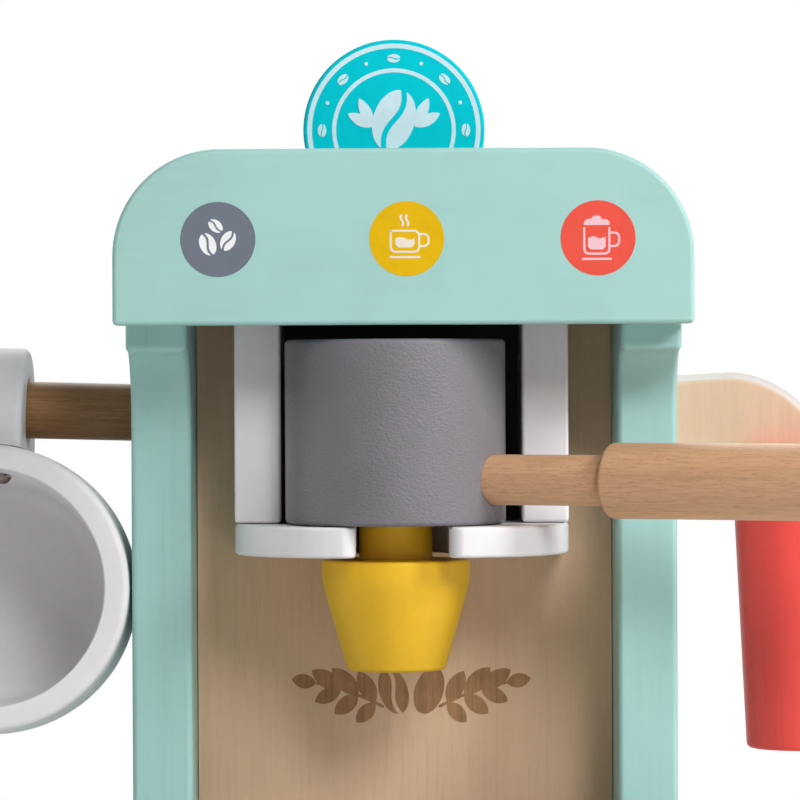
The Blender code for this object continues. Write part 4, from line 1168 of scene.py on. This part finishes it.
class COFFEE_OT_handle(bpy.types.Operator):
    """Turn the handle's stem and its grip"""

    bl_idname = "coffee_maker.handle"
    bl_label = "Handle"

    def execute(self, context):
        edge = 0.0008
        stem = rod(0.0075, 0.0190, 0.0888, edge, edge, ROD_STEPS, handle_matrix())
        dressed("handle_stem", stem, "beech_handle", "natural_beech", body="handle")
        bore, bore_end, bore_edge = 0.0078, 0.0891, 0.0007
        radius, start, end = 0.0111, 0.0708, 0.155
        grip = [(0, bore_end), (bore, bore_end), (bore, start + bore_edge)]
        grip += arc((bore + bore_edge, start + bore_edge), bore_edge, 180, 270, 4)
        grip += rim(radius, start, 0.0016, False) + rim(radius, end, 0.0070, True, 20)
        grip.append((0, end))
        dressed("handle_grip", moved(turned(grip), handle_matrix()), "beech_handle",
                "natural_beech", body="handle")
        return {"FINISHED"}


class COFFEE_OT_pod(bpy.types.Operator):
    """Build the coffee pod, with its printed rings and beans"""

    bl_idname = "coffee_maker.pod"
    bl_label = "Coffee pod"

    def execute(self, context):
        low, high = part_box("coffee_pod")
        middle = (low + high) / 2
        half = (high.y - low.y) / 2
        edge = 0.0009
        dressed("coffee_pod", rod(0.027, -half, half, edge, edge, 160, laid(middle)),
                "turquoise_pod", "turquoise_paint", body="pod")
        x, z = middle.x, middle.z
        face = (low.y, PRINT_LIFT)
        shapes = [band((x, z), *radii, *face) for radii in ((0.0244, 0.0258), (0.0172, 0.0184))]
        grooves = []
        for number in range(16):
            turn = number * math.tau / 16
            spot = (x + 0.0214 * math.sin(turn), z + 0.0214 * math.cos(turn))
            if number % 2:
                shapes.append(disc(spot, 0.00055, *face, 24))
            else:
                add_bean(shapes, grooves, spot, 0.00125, 0.00195, math.degrees(turn) + 90, *face)
        add_bean(shapes, grooves, (x, z + 0.0030), 0.0062, 0.0092, 18, *face)
        for side in (-1, 1):
            root = (x + side * 0.0062, z + 0.0010)
            for lean, length in ((64, 0.0095), (28, 0.0085)):
                angle = lean if side > 0 else 180 - lean
                shapes.append(leaf(root, length, 0.0034, angle, *face))
        piece("pod_print", together(shapes), "pod_ink", "turquoise_paint", "pod")
        piece("pod_grooves", together(grooves), "turquoise_pod", "turquoise_paint", "pod")
        return {"FINISHED"}


def mug_side(spread, steps=24):
    """The barrel side of the mug as (radius, height) points, from its lip to its base."""
    low = MUG_LIP
    high = MUG_LENGTH - MUG_BASE_EDGE
    points = []
    for step in range(steps + 1):
        share = step / steps
        if share < 1 / 2:
            radius = MUG_MOUTH_RADIUS + (MUG_RADIUS - MUG_MOUTH_RADIUS) * math.sin(math.pi * share)
        else:
            radius = MUG_RADIUS - (MUG_RADIUS - MUG_BASE_RADIUS) * (share * 2 - 1) ** 2
        points.append((radius + spread, low + (high - low) * share))
    return points


def mug_screw_matrices():
    """Where the two screws inside the mug sit, their heads against its wall."""
    slope = (MUG_BORE_RADIUS - MUG_BORE_END_RADIUS) / MUG_LENGTH
    places = []
    for across, along in MUG_SCREW_PLACES:
        bore = (MUG_BORE_RADIUS - slope * (along + SCREW_DOME_RADIUS + MUG_MOUTH_REACH)) * 0.997
        seat = math.sqrt(bore**2 - (abs(across) + SCREW_DOME_RADIUS) ** 2) - SEAM
        places.append(hang_matrix() @ Matrix.Translation((across, along, seat - MUG_AXIS_DROP)))
    return places


class COFFEE_OT_mug(bpy.types.Operator):
    """Turn the mug, cut its ear and the peg that it hangs on"""

    bl_idname = "coffee_maker.mug"
    bl_label = "Mug and peg"

    def execute(self, context):
        side = mug_side(0)
        floor = MUG_LENGTH - MUG_FLOOR
        edge, lip = MUG_BORE_EDGE, MUG_INNER_LIP
        profile = [(0, floor)] + arc((MUG_BORE_END_RADIUS - edge, floor - edge), edge, 90, 0, 12)
        profile += arc((MUG_BORE_RADIUS + lip, lip), lip, 180, 270, 8)
        profile += arc((side[0][0] - MUG_LIP, MUG_LIP), MUG_LIP, 270, 360, 12) + side[1:-1]
        profile += rim(side[-1][0], MUG_LENGTH, MUG_BASE_EDGE, True, 12) + [(0, MUG_LENGTH)]
        screws = mug_screw_matrices()
        dressed("mug", moved(turned(profile, 192), mug_matrix()), "mug_white", "white_paint",
                body="mug_set", cutters=[cylinder(0.0015, -0.003, 0.03, 32, at) for at in screws])
        half, half_width, over = 0.009, 0.0265, 0.002
        foot = -MUG_AXIS_DROP + MUG_BORE_RADIUS
        outline = [(-half_width, foot), (half_width, foot)]
        outline += arc((0, -0.0069), half_width, 0, 180, 72)
        ear = moved(slab(outline, "X", -half, half), hang_matrix())
        across = hang_matrix() @ Matrix.Rotation(QUARTER, 4, "Y")
        ear = dressed("mug_ear", ear, "mug_white", "white_paint", body="mug_set", easing=0.0022,
                      cutters=[cylinder(0.00975, -0.02, 0.02, 96, across)])
        side = mug_side(SEAM)
        seat = [(0, -over), (side[0][0], -over)] + side
        seat += [(side[-1][0], MUG_LENGTH + over), (0, MUG_LENGTH + over)]
        carve(ear, [moved(turned(seat, 192), mug_matrix())])
        peg = rod(0.00878, -0.012, 0.068, 0.0008, 0.0010, ROD_STEPS, peg_matrix())
        dressed("mug_peg", peg, "beech_peg", "natural_beech")
        drive_radius, drive_depth, shank = 0.0006, 0.0017, 0.0012
        bends = [math.radians(turn) for turn in range(-70, 1, 7)]
        head = [(0, -drive_depth), (drive_radius, -drive_depth)]
        head += [
            (SCREW_DOME_RADIUS * math.cos(bend), SCREW_DOME_HEIGHT * math.sin(bend))
            for bend in bends
        ]
        head += [(shank, 0), (shank, 0.0128), (0, 0.014)]
        for number, place in enumerate(screws, 1):
            dressed(f"mug_screw_{number}", moved(turned(head, 48), place), "plated_steel",
                    "screw_steel", body="mug_set")
        return {"FINISHED"}


class COFFEE_OT_wand(bpy.types.Operator):
    """Cut the wing board and turn the frother wand that hangs on it"""

    bl_idname = "coffee_maker.wand"
    bl_label = "Wing and wand"

    def execute(self, context):
        across = laid(WAND_PIVOT)
        pin_hole = 0.0033
        low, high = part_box("wing_board")
        radius, lower, past, over, panel_top = 0.033, 0.0045, 0.004, 0.002, 0.1834
        inside = low.x - past
        outline = [(inside, low.z)] + arc((high.x - lower, low.z + lower), lower, -90, 0, 16)
        outline += arc((high.x - radius, high.z - radius), radius, 0, 86, 52)[1:]
        outline.append((inside, panel_top))
        board = slab(outline, "Y", low.y, high.y)
        # The board is eased longer than it is, then cut flush, so that its end stays sharp
        flush_low = (inside - over, low.y - over, low.z - over)
        flush = block(flush_low, (low.x, high.y + over, high.z + over))
        dressed("wing_board", board, "birch_wing", "natural_plywood", easing=0.0030,
                holes=[cylinder(pin_hole, -0.02, 0.02, 64, across), flush])
        low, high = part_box("frother_wand")
        profile = [(0, low.z)] + rim(0.0165, low.z, 0.0016, False)
        profile += rim(0.0208, high.z, 0.0050, True, 14) + [(0, high.z)]
        x, y, z = WAND_PIVOT
        wand = moved(turned(profile), Matrix.Translation((x, y, 0)))
        half_width, drop = 0.0065, 0.0163
        slot_low = (x - 0.03, y - half_width, z - drop)
        slot = block(slot_low, (x + 0.03, y + half_width, high.z + 0.01))
        dressed("frother_wand", wand, "red_wand", "red_paint", body="wand",
                cutters=[slot, cylinder(pin_hole, -0.04, 0.04, 64, across)])
        low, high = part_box("frother_pin")
        half = (high.y - low.y) / 2
        pin = rod(0.003, -half, half, 0.0006, 0.0006, 48, across)
        dressed("frother_pin", pin, "beech_pin", "natural_beech")
        return {"FINISHED"}


class COFFEE_OT_fasteners(bpy.types.Operator):
    """Finish the screws and the hidden dowels of the CAD model"""

    bl_idname = "coffee_maker.fasteners"
    bl_label = "Fasteners"

    def execute(self, context):
        for name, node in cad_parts.items():
            if "screw" in name and not name.startswith("mug"):
                wear(node, "plated_steel")
            elif "dowel" in name:
                wear(node, "beech_pin")
        return {"FINISHED"}


# Lamps: name, place, target, size and power. The first two are fitted to the photo's shadows.
LAMPS = (
    ("side_light", (1.162, -0.691, 1.011), (0, -0.02, 0.14), 0.5, 16.4),
    ("front_light", (0.459, -1.281, 1.011), (0, -0.02, 0.14), 0.5, 9.8),
    ("left_light", (-1.5, 0.1, 0.75), (0, 0, 0.12), 0.7, 4.0),
    ("rear_light", (0, 1.4, 1.2), (0, 0, 0.15), 1.2, 10.0),
)
# The camera, in mm, metres and degrees, as the photo's outlines give it
CAMERA_SENSOR = 36
CAMERA_LENS = 195.3
CAMERA_PLACE = (0, -1.306, 0.186)
CAMERA_YAW = 0.051
CAMERA_PITCH = -0.409
CAMERA_ROLL = -0.25


def floor_finish():
    """Matt white near the toy, where its shadow falls, and white light further out."""
    finish = Finish("studio_floor", 0.9)
    inputs = {0: finish.place()}
    reach = finish.node("ShaderNodeVectorMath", {"operation": "LENGTH"}, inputs, "Value")
    finish.done(finish.mixed(finish.noise(8.0, 2.0), (0.86, 0.86, 0.86), (0.88, 0.88, 0.88)))
    glow = finish.node("ShaderNodeEmission", {}, {"Color": (1, 1, 1), "Strength": 1.0})
    share = reach.between(0.26, 0.50) * finish.seen_directly()
    matt = Value(finish, finish.shader.outputs[0])
    whole = finish.node("ShaderNodeMixShader", {}, {0: share, 1: matt, 2: glow})
    finish.feed(finish.tree.nodes["Material Output"].inputs["Surface"], whole)
    return finish.material


def surround():
    """A world that is white to the camera and a dimmer even fill for everything else."""
    world = bpy.data.worlds.new("studio")
    bpy.context.scene.world = world
    world.use_nodes = True
    nodes = Nodes(world.node_tree)
    ground = world.node_tree.nodes["Background"]
    ground.inputs["Color"].default_value = (1, 1, 1, 1)
    nodes.feed(ground.inputs["Strength"], nodes.seen_directly() * 0.96 + 0.04)


def lamp(name, place, target, size, power):
    light = bpy.data.lights.new(name, "AREA")
    light.shape = "DISK"
    light.size = size
    light.energy = power
    made = bpy.data.objects.new(name, light)
    bpy.context.scene.collection.objects.link(made)
    made.location = place
    made.rotation_euler = (Vector(target) - Vector(place)).to_track_quat("-Z", "Y").to_euler()


class COFFEE_OT_stage(bpy.types.Operator):
    """Set the floor, the white surround, the studio lights and the camera"""

    bl_idname = "coffee_maker.stage"
    bl_label = "Stage"

    def execute(self, context):
        floor_shape = bmesh.new()
        bmesh.ops.create_circle(floor_shape, cap_ends=True, radius=8, segments=96)
        floor = object_from("studio_floor", floor_shape)
        floor.data.materials.append(floor_finish())
        surround()
        for row in LAMPS:
            lamp(*row)
        camera = bpy.data.objects.new("photo_camera", bpy.data.cameras.new("photo_camera"))
        context.scene.collection.objects.link(camera)
        camera.data.sensor_width = CAMERA_SENSOR
        camera.data.lens = CAMERA_LENS
        camera.data.dof.use_dof = False
        turns = ((CAMERA_YAW, "Z"), (CAMERA_PITCH + 90, "X"), (CAMERA_ROLL, "Z"))
        yaw, pitch, roll = (Matrix.Rotation(math.radians(turn), 4, axis) for turn, axis in turns)
        camera.matrix_world = Matrix.Translation(CAMERA_PLACE) @ yaw @ pitch @ roll
        context.scene.camera = camera
        context.scene.view_settings.view_transform = "Standard"
        return {"FINISHED"}


STEPS = (
    "finishes", "base", "panels", "header", "prints", "back", "fork", "filter", "handle", "pod",
    "mug", "wand", "fasteners", "stage",
)


class COFFEE_PT_panel(bpy.types.Panel):
    """Lists the sizes, the colours and the building steps"""

    bl_idname = "COFFEE_PT_panel"
    bl_label = "Coffee Maker"
    bl_space_type = "VIEW_3D"
    bl_region_type = "UI"
    bl_category = "Coffee Maker"

    def draw(self, context):
        for group in (sizes_of(context), context.scene.coffee_maker_colours):
            box = self.layout.box()
            for name in group.__annotations__:
                box.prop(group, name)
        column = self.layout.column(align=True)
        for step in STEPS:
            column.operator("coffee_maker." + step)


CLASSES = (
    CoffeeMakerSizes, CoffeeMakerColours, COFFEE_OT_finishes, COFFEE_OT_base, COFFEE_OT_panels,
    COFFEE_OT_header, COFFEE_OT_prints, COFFEE_OT_back, COFFEE_OT_fork, COFFEE_OT_filter,
    COFFEE_OT_handle, COFFEE_OT_pod, COFFEE_OT_mug, COFFEE_OT_wand, COFFEE_OT_fasteners,
    COFFEE_OT_stage, COFFEE_PT_panel,
)


def register():
    for made in CLASSES:
        bpy.utils.register_class(made)
    scene = bpy.types.Scene
    scene.coffee_maker_sizes = bpy.props.PointerProperty(type=CoffeeMakerSizes)
    scene.coffee_maker_colours = bpy.props.PointerProperty(type=CoffeeMakerColours)


def unregister():
    del bpy.types.Scene.coffee_maker_colours
    del bpy.types.Scene.coffee_maker_sizes
    for made in reversed(CLASSES):
        bpy.utils.unregister_class(made)


def plain(bounds):
    return [[round(float(part), 6) for part in corner] for corner in bounds]


def main():
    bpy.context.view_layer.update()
    register()
    for step in STEPS:
        getattr(bpy.ops.coffee_maker, step)()


if __name__ == "__main__":
    main()
